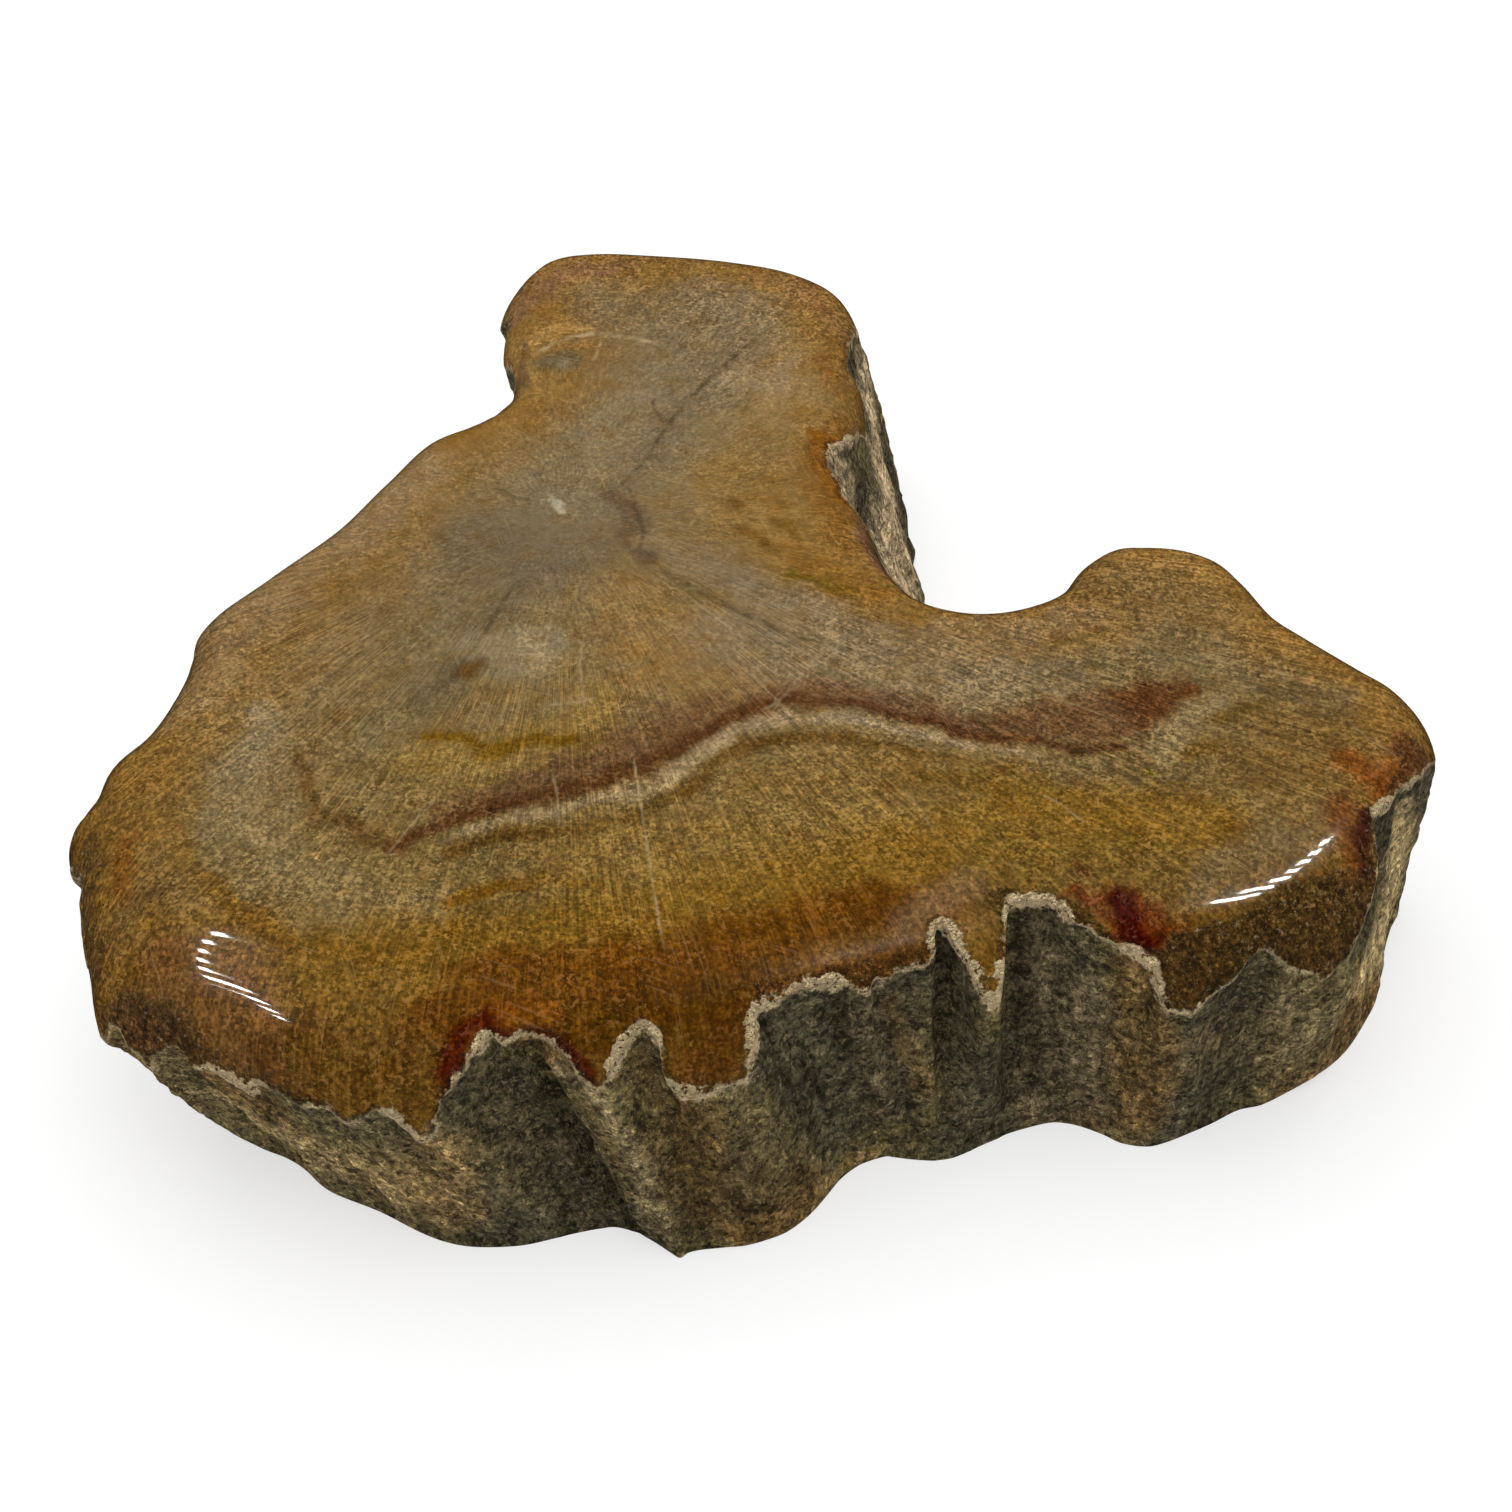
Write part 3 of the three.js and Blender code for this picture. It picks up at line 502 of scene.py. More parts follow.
WALL_STAINS: tuple[Stain, ...] = (
    Stain("dark grey under the big arch", Tint(74, 70, 60), 0.85, 0.5, (
        (-30, -74, 28.5, 3), (-28, -74.5, 22.5, 5), (-24, -75, 11.5, 5), (-21, -75, 3, 3),
    )),
    Stain("olive-grey left wall", Tint(142, 130, 104), 0.8, 0.6, (
        (-65, -67, 14.5, 2), (-56, -71.5, 13, 4), (-46.5, -75.5, 10.5, 5),
    )),
    Stain("brown-cream foot of the left wall", Tint(128, 112, 84), 0.7, 0.6, (
        (-42.5, -78, 12, 5), (-37, -78, 7, 4), (-37, -78, 20, 3),
    )),
    Stain("lighter band beside the ridge", Tint(108, 102, 86), 0.8, 0.5, (
        (-23, -74, 30, 1.4), (-19, -76.5, 25.5, 1.7), (-15.5, -78, 18, 1.9), (-13.5, -77.5, 4.5, 1.8),
    )),
    Stain("brown speckled bulge", Tint(82, 68, 44), 0.85, 0.5, (
        (-9, -75.5, 24, 3), (-8, -76.5, 15.5, 5), (-4.5, -77.5, 7, 5),
    )),
    Stain("dark grey patch low on the bulge", Tint(70, 66, 54), 0.6, 0.7, (
        (-4, -75.5, 16.5, 2), (-3, -76.5, 7.5, 2.5),
    )),
    Stain("dark grey hollow", Tint(76, 74, 64), 0.9, 0.5, (
        (2.5, -68, 30.5, 4), (4.5, -68, 20, 5), (9, -67, 8.5, 4),
    )),
    Stain("grey of the second flute", Tint(76, 72, 62), 0.8, 0.6, ((11.5, -66, 28, 2.5), (14, -65, 10, 3))),
    Stain("brown and cream fibres", Tint(96, 84, 60), 0.6, 0.6, (
        (14, -64.5, 30, 1.2), (16, -64, 20, 1.4), (18.5, -64, 13.5, 1.8),
    )),
    Stain("dark under the notch", Tint(70, 67, 58), 0.85, 0.6, (
        (20.5, -60.5, 27.5, 1.8), (22, -63, 16.5, 2.5), (24, -64, 6, 2.5),
    )),
    Stain("grey of the wide flute", Tint(102, 97, 84), 0.85, 0.6, (
        (31.5, -56, 32.5, 4), (34.5, -58, 22, 6), (37, -59.5, 6.5, 6),
    )),
    Stain("dark left side of the wide flute", Tint(54, 50, 42), 0.7, 0.6, (
        (29, -56, 34, 1.2), (30.5, -57.5, 21.5, 1.8), (32.5, -59, 8, 1.6),
    )),
    Stain("brown ridge", Tint(96, 80, 54), 0.85, 0.6, (
        (42, -60.5, 31.5, 2.5), (44, -61.5, 20.5, 3.5), (45, -62.5, 6.5, 4),
    )),
    Stain("grey-brown right wall", Tint(100, 94, 76), 0.8, 0.6, (
        (52, -61.5, 19, 4), (63.5, -57, 11, 6), (70.5, -53, 15.5, 4),
    )),
    Stain("dark grey under the right arch", Tint(88, 84, 72), 0.8, 0.6, (
        (57, -59, 28.5, 1.6), (59.5, -58.5, 22.5, 3), (55.5, -60, 22.5, 2.5),
    )),
    Stain("buff right end", Tint(168, 156, 128), 0.85, 0.6, (
        (77, -36, 30.5, 2), (79.5, -34, 18, 5), (80, -34, 7, 5), (73, -48, 16, 3),
    )),
    Stain("pale chip at the foot", Tint(136, 120, 88), 0.9, 0.35, (
        (5.5, -72.5, 0.5, 0.9), (8.5, -68, 1.5, 1.4), (12.5, -65.5, 1.5, 1.2),
    )),
    Stain("grey wall of the upper lobe", Tint(178, 166, 150), 0.85, 0.6, (
        (15, 55.5, 28.5, 5), (17, 48, 21.5, 7), (20.5, 38, 15, 9), (21, 24, 15, 9), (20.5, 10, 15, 9),
    )),
    Stain("grey in the bite", Tint(150, 140, 124), 0.9, 0.5, (
        (8.5, 27, 37.5, 2), (11, 26, 33, 4), (12.5, 12, 35, 4), (15, 10, 31, 3),
    )),
    # Painted shade: a dark line along the crease of the fold
    Stain("dark groove", Tint(42, 42, 34), 0.9, 0.5, (
        (-27.5, -73.5, 31.5, 0.6), (-25, -74, 25, 0.8), (-22, -74.5, 19, 0.9), (-19.5, -75, 12, 0.8),
        (-16.5, -75.5, 2, 0.6),
    )),
    # Painted light: a pale line along the lip of the fold
    Stain("light lip of the groove", Tint(112, 108, 90), 0.7, 0.6, (
        (-26.5, -73.5, 31, 0.35), (-23.5, -74, 25.5, 0.4), (-20.5, -74.5, 19.5, 0.4),
        (-18, -75.5, 13, 0.35),
    )),
)

CRACKS: tuple[Hairline, ...] = (
    Hairline("long crack", 0.9, 0.32, (
        (1.5, 57), (-3.5, 50), (-9, 41.5), (-14, 31.5), (-16.5, 24.5), (-19, 20), (-20.5, 17),
    )),
    Hairline("branch of the crack", 0.6, 0.25, ((-14, 31.5), (-16, 37.5), (-12.5, 40))),
    Hairline("crack at the fork", 0.7, 0.3, ((-19, 20), (-18, 14.5), (-16.5, 9), (-17, 4.5))),
    Hairline("crack left of the pith", 0.75, 0.3, (
        (-32.5, -1), (-34.5, -6.5), (-36.5, -12.5), (-39, -18.5), (-42, -24),
    )),
    Hairline("right vein", 0.8, 0.42, (
        (-15.5, 2.5), (-12.5, 0), (-8.5, -3.5), (-2.5, -8), (4, -12), (10.5, -14.5), (17, -18),
    )),
    Hairline("line behind the pith", 0.6, 0.28, ((-37.5, 18.5), (-33.5, 16), (-30, 16))),
    Hairline("line right of the hook", 0.5, 0.3, ((42.5, -32), (39, -32.5), (35.5, -32), (28, -31))),
    Hairline("line over the bay", 0.5, 0.3, ((11.5, -12.5), (18, -15.5), (24, -18.5), (30, -22))),
    Hairline("short crack in the gold lip", 0.6, 0.22, ((-26.5, -52), (-26.5, -55.5), (-26.5, -59))),
    Hairline("dark line to the right", 0.5, 0.3, ((54.5, -27.5), (57.5, -29.5), (59.5, -34))),
)

SCRATCHES: tuple[Hairline, ...] = (
    Hairline("long scratch", 0.7, 0.14, (
        (-16.5, -31.5), (-15.5, -39), (-14, -49), (-12.5, -59.5), (-11.5, -64.5),
    )),
    Hairline("arc right of the middle", 0.5, 0.2, (
        (8.5, -5), (7.5, -12.5), (4.5, -18.5), (1.5, -23.5), (-1.5, -26),
    )),
    Hairline("scratch below the fork", 0.5, 0.16, ((-10, -4.5), (-6.5, -8.5), (-3, -12.5))),
    Hairline("scratch at the right", 0.45, 0.14, ((32, -39.5), (34.5, -41.5), (37, -44.5))),
    Hairline("scratch at the right tip", 0.45, 0.14, ((71, -27.5), (73.5, -31), (76.5, -33.5))),
    Hairline("scratch over the left loop", 0.4, 0.14, ((-24.5, -45.5), (-25, -40.5), (-26, -35.5))),
    Hairline("scratch in the left field", 0.4, 0.14, ((-44.5, -50.5), (-42, -45), (-39, -40))),
    Hairline("pale seam of the upper lobe", 0.95, 0.4, (
        (-34, 48.5), (-31.5, 51), (-28.5, 53), (-24.5, 54), (-18.5, 52.5), (-14.5, 51),
    )),
    Hairline("pale seam by the knot", 0.55, 0.22, ((-24, 52.5), (-24.5, 49.5), (-25, 47))),
    Hairline("pale scratch under the olive flakes", 0.5, 0.16, (
        (-23.5, -12.5), (-23.5, -17), (-23, -22), (-22.5, -25.5),
    )),
    Hairline("pale fork", 0.5, 0.2, ((-27.5, -24.5), (-24, -24), (-21, -23))),
    Hairline("scratch right of the vein", 0.4, 0.14, ((-3.5, -16.5), (0, -22), (2.5, -26))),
    Hairline("hair over the bay", 0.35, 0.14, ((23.5, -12.5), (28, -15.5), (32, -18.5))),
    Hairline("hair at the right", 0.35, 0.14, ((36, -23.5), (40.5, -26), (46.5, -30.5))),
    Hairline("hair in the front field", 0.35, 0.14, ((16, -39), (18, -42.5), (19.5, -47))),
)

# Skin of the polished side that the polish never reached, near the rim
DULL_PATCHES: tuple[Stain, ...] = (
    Stain("right skirt", Tint(108, 78, 38), 0.95, 0.4, (
        (46, -63.5, 4), (52, -61, 4), (58.5, -59, 4.5), (66, -56, 4.5), (73, -51, 4),
    )),
    Stain("right tip edge", Tint(112, 72, 38), 0.6, 0.6, ((77, -38.5, 3), (77.5, -37, 3), (79, -31.5, 3))),
    Stain("middle crest", Tint(112, 82, 40), 0.8, 0.5, ((25, -55.5, 1.8), (30, -57, 2.6), (35, -59, 2.8))),
    Stain("middle edge", Tint(104, 56, 16), 0.6, 0.7, ((0, -68.5, 1.6), (9, -66, 1.6), (17.5, -62.5, 1.6))),
    Stain("left corner", Tint(120, 84, 56), 0.75, 0.6, (
        (-75, -67.5, 3.5), (-69, -71.5, 4), (-62, -75, 3), (-52.5, -78, 2.5),
    )),
    Stain("left edge", Tint(118, 84, 40), 0.5, 0.6, ((-80.5, -44.5, 2), (-80, -53.5, 2), (-77.5, -62, 2))),
)

# Clumps of cream crust that hang on the rim: x, y and half width
CRUSTS: dict[str, Path] = {
    "spike of the left arch": ((-31.5, -74.5, 0.8), (-31, -73.5, 1.3), (-28.5, -74, 0.7)),
    "top of the small arch": ((-17.5, -74.5, 0.8), (-15, -73, 1.2), (-12.5, -73, 0.8)),
    "foot of the tongue": ((-11, -75.5, 0.8), (-7.5, -75.5, 0.7)),
    "corner of the long flute": ((-1.5, -71.5, 1.6), (-1.5, -69, 2), (0.5, -67.5, 1.6), (7, -66, 1.2)),
    "crest of the long flute": ((12.5, -64, 1), (19, -60, 1.3)),
    "notch": ((20, -59, 1.5), (22, -62, 1), (26.5, -64, 1.5)),
    "top of the wide flute": ((27.5, -56.5, 2.2), (28.5, -55.5, 3), (31, -56, 2.4), (33.5, -57, 1.4)),
    "stain rim": ((41, -60, 1.2), (44, -61, 1.6)),
    "left corner flakes": ((-62.5, -71.5, 1.5), (-58.5, -73, 2)),
    "edge of the left wall": ((-41.5, -78, 1.5),),
    "upper lobe bite": ((9.5, 28, 1.2), (11.5, 31.5, 1.4)),
    "right pit": ((71.5, -42, 1.2), (74.5, -39.5, 1.2)),
}

# Stretch of the rim at the left tip that is chipped into scallops: x, y and half width
CHIPPED_EDGE: Path = ((-81, -33, 5), (-84, -42, 5), (-82, -52, 5), (-77, -64, 4))

GROOVES: tuple[Groove, ...] = (
    Groove("fold below the big arch", 1.4, (
        (-26.5, -73.5, 32, 0.8), (-23.5, -74, 22, 1.1), (-20.5, -74.5, 13, 1.2), (-17.5, -75.5, 5, 1.1),
        (-15.5, -76, 1.5, 0.9),
    )),
    Groove("lip of the fold", -0.9, (
        (-24, -73.5, 31, 1), (-20.8, -75, 22, 1.3), (-17.8, -76, 13, 1.4), (-14.5, -76, 4, 1.2),
    )),
    Groove("furrow beside the pillar", 1.2, (
        (12.5, -65.5, 33.5, 1), (13.5, -65.5, 22, 1.3), (16.5, -65, 9.5, 1.2),
    )),
    Groove("crease of the left arch", 0.8, ((-35, -77.5, 28, 0.9), (-38.5, -77.5, 19.5, 1.2))),
    Groove("furrow of the wide flute", 0.9, ((27.5, -56.5, 34, 1), (27.5, -59, 23, 1.2), (30, -60, 9, 1.2))),
)

# The polish stands a little higher over the left front corner
LEFT_MOUND = Mound(-62.0, -70.0, 15.0, 1.4)


class LatticeNoise:
    """Smooth noise: random numbers on a cubic lattice, blended with eased weights in between."""

    SLOTS = 1 << 16
    PRIMES = (73856093, 19349663, 83492791)
    LAYER_SHIFT = 17.3

    def __init__(self, seed: int) -> None:
        """Draws the lattice's random numbers.

        Args:
            seed: the number that the draw starts from.
        """
        self.values = np.random.default_rng(seed).uniform(-1.0, 1.0, self.SLOTS)

    def at(self, places: Array) -> Array:
        """One layer of noise.

        Args:
            places: (n, 3) places, one lattice cell to a unit.

        Returns:
            n values between -1 and 1: the eight corners of a place's cell, each weighted by the
            product of eased shares along the three axes.
        """
        cell = np.floor(places).astype(np.int64)
        share = places - cell
        ease = share * share * (3.0 - 2.0 * share)
        total = np.zeros(len(places))
        for corner in np.ndindex(2, 2, 2):
            index = (cell + corner) * self.PRIMES
            key = (index[:, 0] ^ index[:, 1] ^ index[:, 2]) & (self.SLOTS - 1)
            weight = np.where(np.array(corner) == 1, ease, 1.0 - ease).prod(axis=1)
            total += weight * self.values[key]
        return total

    def layered(self, places: Array, size: float, layers: int) -> Array:
        """Noise of several sizes, each layer half as large and half as strong as the one before.

        Args:
            places: (n, 3) places in millimetres.
            size: size of the coarsest lumps in millimetres.
            layers: number of layers.

        Returns:
            n values, mostly between -1 and 1.
        """
        total = np.zeros(len(places))
        for layer in range(layers):
            total += self.at(places * (2.0**layer / size) + self.LAYER_SHIFT * layer) * 0.5**layer
        return total


def eased(value: Array, low: float, high: float) -> Array:
    """Smooth step: 0 below low, 1 above high, and 3t^2 - 2t^3 in between."""
    share = np.clip((value - low) / (high - low), 0.0, 1.0)
    return share * share * (3.0 - 2.0 * share)


def cubic(before: Array, start: Array, end: Array, after: Array, t: Array) -> Array:
    """The cubic from start to end whose slope at each of the two is half the step between its
    neighbours.

    Args:
        before, start, end, after: four points in a row, or arrays of them.
        t: share of the way from start to end.

    Returns:
        The places.
    """
    bend = 2 * before - 5 * start + 4 * end - after
    twist = 3 * start - before - 3 * end + after
    return 0.5 * (2 * start + (end - before) * t + bend * t**2 + twist * t**3)


def closed_curve(points: Array, count: int) -> Array:
    """A smooth closed curve through points, made of cubics.

    Args:
        points: (n, k) points in order round the curve.
        count: number of samples, evenly shared out over the stretches.

    Returns:
        (count, k) samples.
    """
    place = np.arange(count) * len(points) / count
    low = np.floor(place).astype(int)
    near = (points[(low + step) % len(points)] for step in (-1, 0, 1, 2))
    return cubic(*near, (place - low)[:, None])


def open_curve(points: Array, per_stretch: int) -> Array:
    """A smooth curve from the first point to the last, made of cubics.

    Args:
        points: (n, k) points.
        per_stretch: number of steps from one point to the next.

    Returns:
        (m, k) samples.
    """
    ends = np.vstack([2 * points[0] - points[1], points, 2 * points[-1] - points[-2]])
    place = np.linspace(0.0, len(points) - 1.0, (len(points) - 1) * per_stretch + 1)
    low = np.minimum(np.floor(place).astype(int), len(points) - 2)
    return cubic(*(ends[low + step] for step in (0, 1, 2, 3)), (place - low)[:, None])


def inward_of(ring: Array) -> Array:
    """Directions into a ring: the step from the point before to the point after, turned a quarter
    to the left.

    Args:
        ring: (n, 2) or wider, counter-clockwise points.

    Returns:
        (n, 2) unit vectors.
    """
    step = np.roll(ring, -1, axis=0)[:, :2] - np.roll(ring, 1, axis=0)[:, :2]
    inward = np.column_stack([-step[:, 1], step[:, 0]])
    return inward / np.linalg.norm(inward, axis=1, keepdims=True)


def evened_out(ring: Array, passes: int) -> Array:
    """A closed list, each entry averaged with its two neighbours, many times over.

    Args:
        ring: the list.
        passes: how many times.

    Returns:
        The evened list.
    """
    for _ in range(passes):
        ring = (np.roll(ring, 1, axis=0) + 2 * ring + np.roll(ring, -1, axis=0)) / 4
    return ring


def between(ring: Array, place: Array) -> Array:
    """Values of a closed list at places between its entries.

    Args:
        ring: (n, k) entries.
        place: m places, where 1.5 is half way from entry 1 to entry 2.

    Returns:
        (m, k) values.
    """
    low = np.floor(place).astype(int)
    share = (place - low)[:, None]
    return ring[low % len(ring)] * (1 - share) + ring[(low + 1) % len(ring)] * share


def nearest(places: Array, line: Array, block: int = 4096) -> tuple[Array, Array]:
    """The sample of a line that is nearest to each place.

    Args:
        places: (n, k) places.
        line: (m, k) samples of the line.
        block: number of places worked out at a time, to keep the arrays small.

    Returns:
        The samples' numbers and their distances.
    """
    found, away = [], []
    for start in range(0, len(places), block):
        part = places[start : start + block]
        squared = (part**2).sum(1)[:, None] - 2 * part @ line.T + (line**2).sum(1)[None, :]
        least = squared.argmin(axis=1)
        found.append(least)
        away.append(np.sqrt(np.maximum(squared[np.arange(len(part)), least], 0.0)))
    return np.concatenate(found), np.concatenate(away)


def inside(places: Array, ring: Array) -> Array:
    """Whether a line to the right of each place crosses a ring an odd number of times.

    Args:
        places: (n, 2) places.
        ring: (m, 2) points of the ring.

    Returns:
        n truth values, true inside the ring.
    """
    x, y = places[:, 0][:, None], places[:, 1][:, None]
    x0, y0 = ring[:, 0][None, :], ring[:, 1][None, :]
    x1, y1 = np.roll(x0, -1), np.roll(y0, -1)
    rise = np.where(y1 == y0, 1.0, y1 - y0)
    crossed = ((y0 > y) != (y1 > y)) & (x < x0 + (y - y0) * (x1 - x0) / rise)
    return crossed.sum(axis=1) % 2 == 1


def line_weight(path: Path, soft: float, places: Array) -> Array:
    """How far each place belongs to a broad line, from 0 to 1.

    The distance to each stretch of the line is divided by the half width there, and the least of
    these ratios fades from full weight inside to nothing outside.

    Args:
        path: places of the line, each followed by the half width there.
        soft: share of the half width over which the edge fades, on either side of it.
        places: (n, 2) or (n, 3) places, like those of the path.

    Returns:
        n weights.
    """
    path = np.array(path, dtype=float)
    width, path = path[:, -1], path[:, :-1]
    ratio = np.linalg.norm(places - path[0], axis=1) / width[0]
    for i in range(len(path) - 1):
        stretch = path[i + 1] - path[i]
        share = np.clip((places - path[i]) @ stretch / (stretch @ stretch), 0.0, 1.0)
        away = np.linalg.norm(places - path[i] - share[:, None] * stretch, axis=1)
        ratio = np.minimum(ratio, away / (width[i] + share * (width[i + 1] - width[i])))
    return 1.0 - eased(ratio, 1.0 - soft, 1.0 + soft)


def stained(colour: Array, stains: tuple[Stain, ...], ragged: Array, gentle: Array) -> Array:
    """Colours with stains laid over them in order.

    Args:
        colour: (n, 3) light values.
        stains: the stains, the lowest first.
        ragged: n places, moved about a lot, where the broad stains are looked up.
        gentle: the same places moved about a little, where the thin stains are looked up.

    Returns:
        (n, 3) light values.
    """
    for stain in stains:
        places = gentle if stain.is_thin() else ragged
        weight = stain.strength * line_weight(stain.path, stain.soft, places)[:, None]
        colour = colour * (1 - weight) + stain.tint.light() * weight
    return colour


@dataclass(frozen=True)
class LineField:
    """A field from which a shader draws thin lines sharper than the mesh is fine.

    reach is the distance from a line within which the field has any strength, and far the value of
    the field where there is no line. A line fades over tail, a share of its length, at each end.
    """

    reach: float = 1.6
    far: float = 20.0
    tail: float = 0.14
    samples: int = 12

    def of(self, lines: tuple[Hairline, ...], places: Array) -> Array:
        """Works out the field.

        Args:
            lines: the cracks or scratches.
            places: (n, 2) places on the polished face.

        Returns:
            (n, 3): signed distance from the nearest line as a multiple of its half width, the
            strength of that line, and zero.
        """
        best = np.full(len(places), np.inf)
        signed = np.full(len(places), self.far)
        strength = np.zeros(len(places))
        for line in lines:
            curve = open_curve(np.array(line.path, dtype=float), self.samples)
            index, away = nearest(places, curve)
            ahead = curve[np.minimum(index + 1, len(curve) - 1)] - curve[np.maximum(index - 1, 0)]
            offset = places - curve[index]
            turned = ahead[:, 0] * offset[:, 1] - ahead[:, 1] * offset[:, 0]
            across = turned / np.linalg.norm(ahead, axis=1)
            share = index / (len(curve) - 1)
            fade = eased(share, 0.0, self.tail) * eased(1.0 - share, 0.0, self.tail)
            closer = (away < self.reach) & (away < best)
            best = np.where(closer, away, best)
            signed = np.where(closer, across / line.half_width, signed)
            strength = np.where(closer, line.strength * fade, strength)
        return np.column_stack([signed, strength, np.zeros(len(places))])


class Value:
    """A shader value that takes part in arithmetic by adding Math nodes to its graph."""

    def __init__(self, graph: "Graph", socket: Socket) -> None:
        """Wraps an output socket of a graph."""
        self.graph = graph
        self.socket = socket

    def _math(self, operation: str, first: object, second: object = 0.0) -> "Value":
        """Adds one Math node and returns its result."""
        node = self.graph.node("ShaderNodeMath", {"operation": operation}, {0: first, 1: second})
        return Value(self.graph, node.outputs[0])

    def __add__(self, other: object) -> "Value":
        """self + other."""
        return self._math("ADD", self, other)

    __radd__ = __add__

    def __sub__(self, other: object) -> "Value":
        """self - other."""
        return self._math("SUBTRACT", self, other)

    def __rsub__(self, other: object) -> "Value":
        """other - self."""
        return self._math("SUBTRACT", other, self)

    def __mul__(self, other: object) -> "Value":
        """self * other."""
        return self._math("MULTIPLY", self, other)

    __rmul__ = __mul__

    def __abs__(self) -> "Value":
        """abs(self)."""
        return self._math("ABSOLUTE", self)

    def sine(self) -> "Value":
        """sin(self)."""
        return self._math("SINE", self)

    def doublings(self) -> "Value":
        """Two to the power of self, which is 2 for one doubling and 1/2 for minus one."""
        return self._math("POWER", 2.0, self)

    def step(self, low: float, high: float) -> "Value":
        """Smooth step: 0 below low and 1 above high."""
        inputs = {"Value": self, "From Min": low, "From Max": high}
        node = self.graph.node("ShaderNodeMapRange", {"interpolation_type": "SMOOTHSTEP"}, inputs)
        return Value(self.graph, node.outputs["Result"])


@dataclass(frozen=True)
class Mottle:
    """Noise round zero: size of its coarsest lumps in millimetres, layers, roughness, strength."""

    size: float
    layers: float
    rough: float
    strength: float = 1.0


@dataclass(frozen=True)
class Specks:
    """Noise cut between two levels, like Mottle but with the levels where it starts and is full."""

    size: float
    layers: float
    rough: float
    low: float
    high: float
    strength: float = 1.0


class Graph:
    """The node graph of one material."""

    MIX_SHARE, MIX_UNDER, MIX_OVER, MIX_RESULT = 0, 6, 7, 2
    MOTTLE_CONTRAST = 4.0

    def __init__(self, name: str) -> None:
        """Makes an empty material of that name."""
        self.material = bpy.data.materials.new(name)
        self.material.use_nodes = True
        self.tree = self.material.node_tree
        self.tree.nodes.clear()

    def node(self, kind: str, settings: dict | None = None, inputs: dict | None = None) -> bpy.types.Node:
        """Adds a node.

        Args:
            kind: the node's type.
            settings: properties of the node, which are set first.
            inputs: values or links of its sockets, by name or number.

        Returns:
            The node.
        """
        node = self.tree.nodes.new(kind)
        for key, value in (settings or {}).items():
            setattr(node, key, value)
        for key, value in (inputs or {}).items():
            if isinstance(value, Value):
                value = value.socket
            if isinstance(value, Socket):
                self.tree.links.new(value, node.inputs[key])
            else:
                node.inputs[key].default_value = value
        return node

    def surface(self, shader: bpy.types.Node) -> bpy.types.Material:
        """Makes a shader the surface of the material, and returns the material."""
        self.node("ShaderNodeOutputMaterial", None, {"Surface": shader.outputs[0]})
        return self.material

    def place(self) -> Socket:
        """The place on the object, in millimetres."""
        return self.scaled(self.node("ShaderNodeTexCoord").outputs["Object"], 1.0 / MM)

    def attribute(self, name: str, output: str) -> Socket:
        """An output socket of one of the skin's attributes."""
        return self.node("ShaderNodeAttribute", {"attribute_name": name}).outputs[output]

    def number(self, name: str) -> Value:
        """An attribute that is one number."""
        return Value(self, self.attribute(name, "Fac"))

    def vector(self, operation: str, inputs: dict, output: str = "Vector") -> Socket:
        """The result of a Vector Math node."""
        return self.node("ShaderNodeVectorMath", {"operation": operation}, inputs).outputs[output]

    def plus(self, first: Socket, second: object) -> Socket:
        """The sum of two vectors."""
        return self.vector("ADD", {0: first, 1: second})

    def times(self, first: Socket, second: object) -> Socket:
        """Two vectors or colours multiplied part by part."""
        return self.vector("MULTIPLY", {0: first, 1: second})

    def scaled(self, vector: object, factor: object) -> Socket:
        """A vector or a colour times one number."""
        return self.vector("SCALE", {0: vector, "Scale": factor})

    def length(self, vector: Socket) -> Value:
        """The length of a vector."""
        return Value(self, self.vector("LENGTH", {0: vector}, "Value"))

    def parts(self, vector: Socket) -> list[Value]:
        """The three numbers of a vector."""
        node = self.node("ShaderNodeSeparateXYZ", None, {0: vector})
        return [Value(self, socket) for socket in node.outputs]

    def whole(self, parts: dict[int, Value]) -> Socket:
        """A vector put together from some of its numbers, with zero for the others."""
        return self.node("ShaderNodeCombineXYZ", None, parts).outputs[0]

    def noise(self, place: Socket, kind: Mottle | Specks) -> Value:
        """Noise from 0 to 1 whose coarsest lumps have the given size, in the units of place."""
        inputs = {"Vector": place, "Scale": 1.0 / kind.size, "Detail": kind.layers, "Roughness": kind.rough}
        return Value(self, self.node("ShaderNodeTexNoise", {"normalize": True}, inputs).outputs["Fac"])

    def mottle(self, place: Socket, kind: Mottle) -> Value:
        """Noise with its contrast raised, mostly between minus and plus its strength."""
        return (self.noise(place, kind) - 0.5) * (self.MOTTLE_CONTRAST * kind.strength)

    def specks(self, place: Socket, kind: Specks) -> Value:
        """Noise that is nothing below its lower level and its full strength above the upper one."""
        return self.noise(place, kind).step(kind.low, kind.high) * kind.strength

    def cells(self, place: Socket, size: float) -> Value:
        """Grains of about that size: a chance number from -1 to 1, the same all over each grain."""
        node = self.node("ShaderNodeTexVoronoi", {"feature": "F1"}, {"Vector": place, "Scale": 1.0 / size})
        return self.parts(node.outputs["Color"])[0] * 2.0 - 1.0

    def blend(self, share: object, under: Socket, over: object) -> Socket:
        """Two colours mixed by a share of the second one."""
        inputs = {self.MIX_SHARE: share, self.MIX_UNDER: under, self.MIX_OVER: over}
        return self.node("ShaderNodeMix", {"data_type": "RGBA"}, inputs).outputs[self.MIX_RESULT]


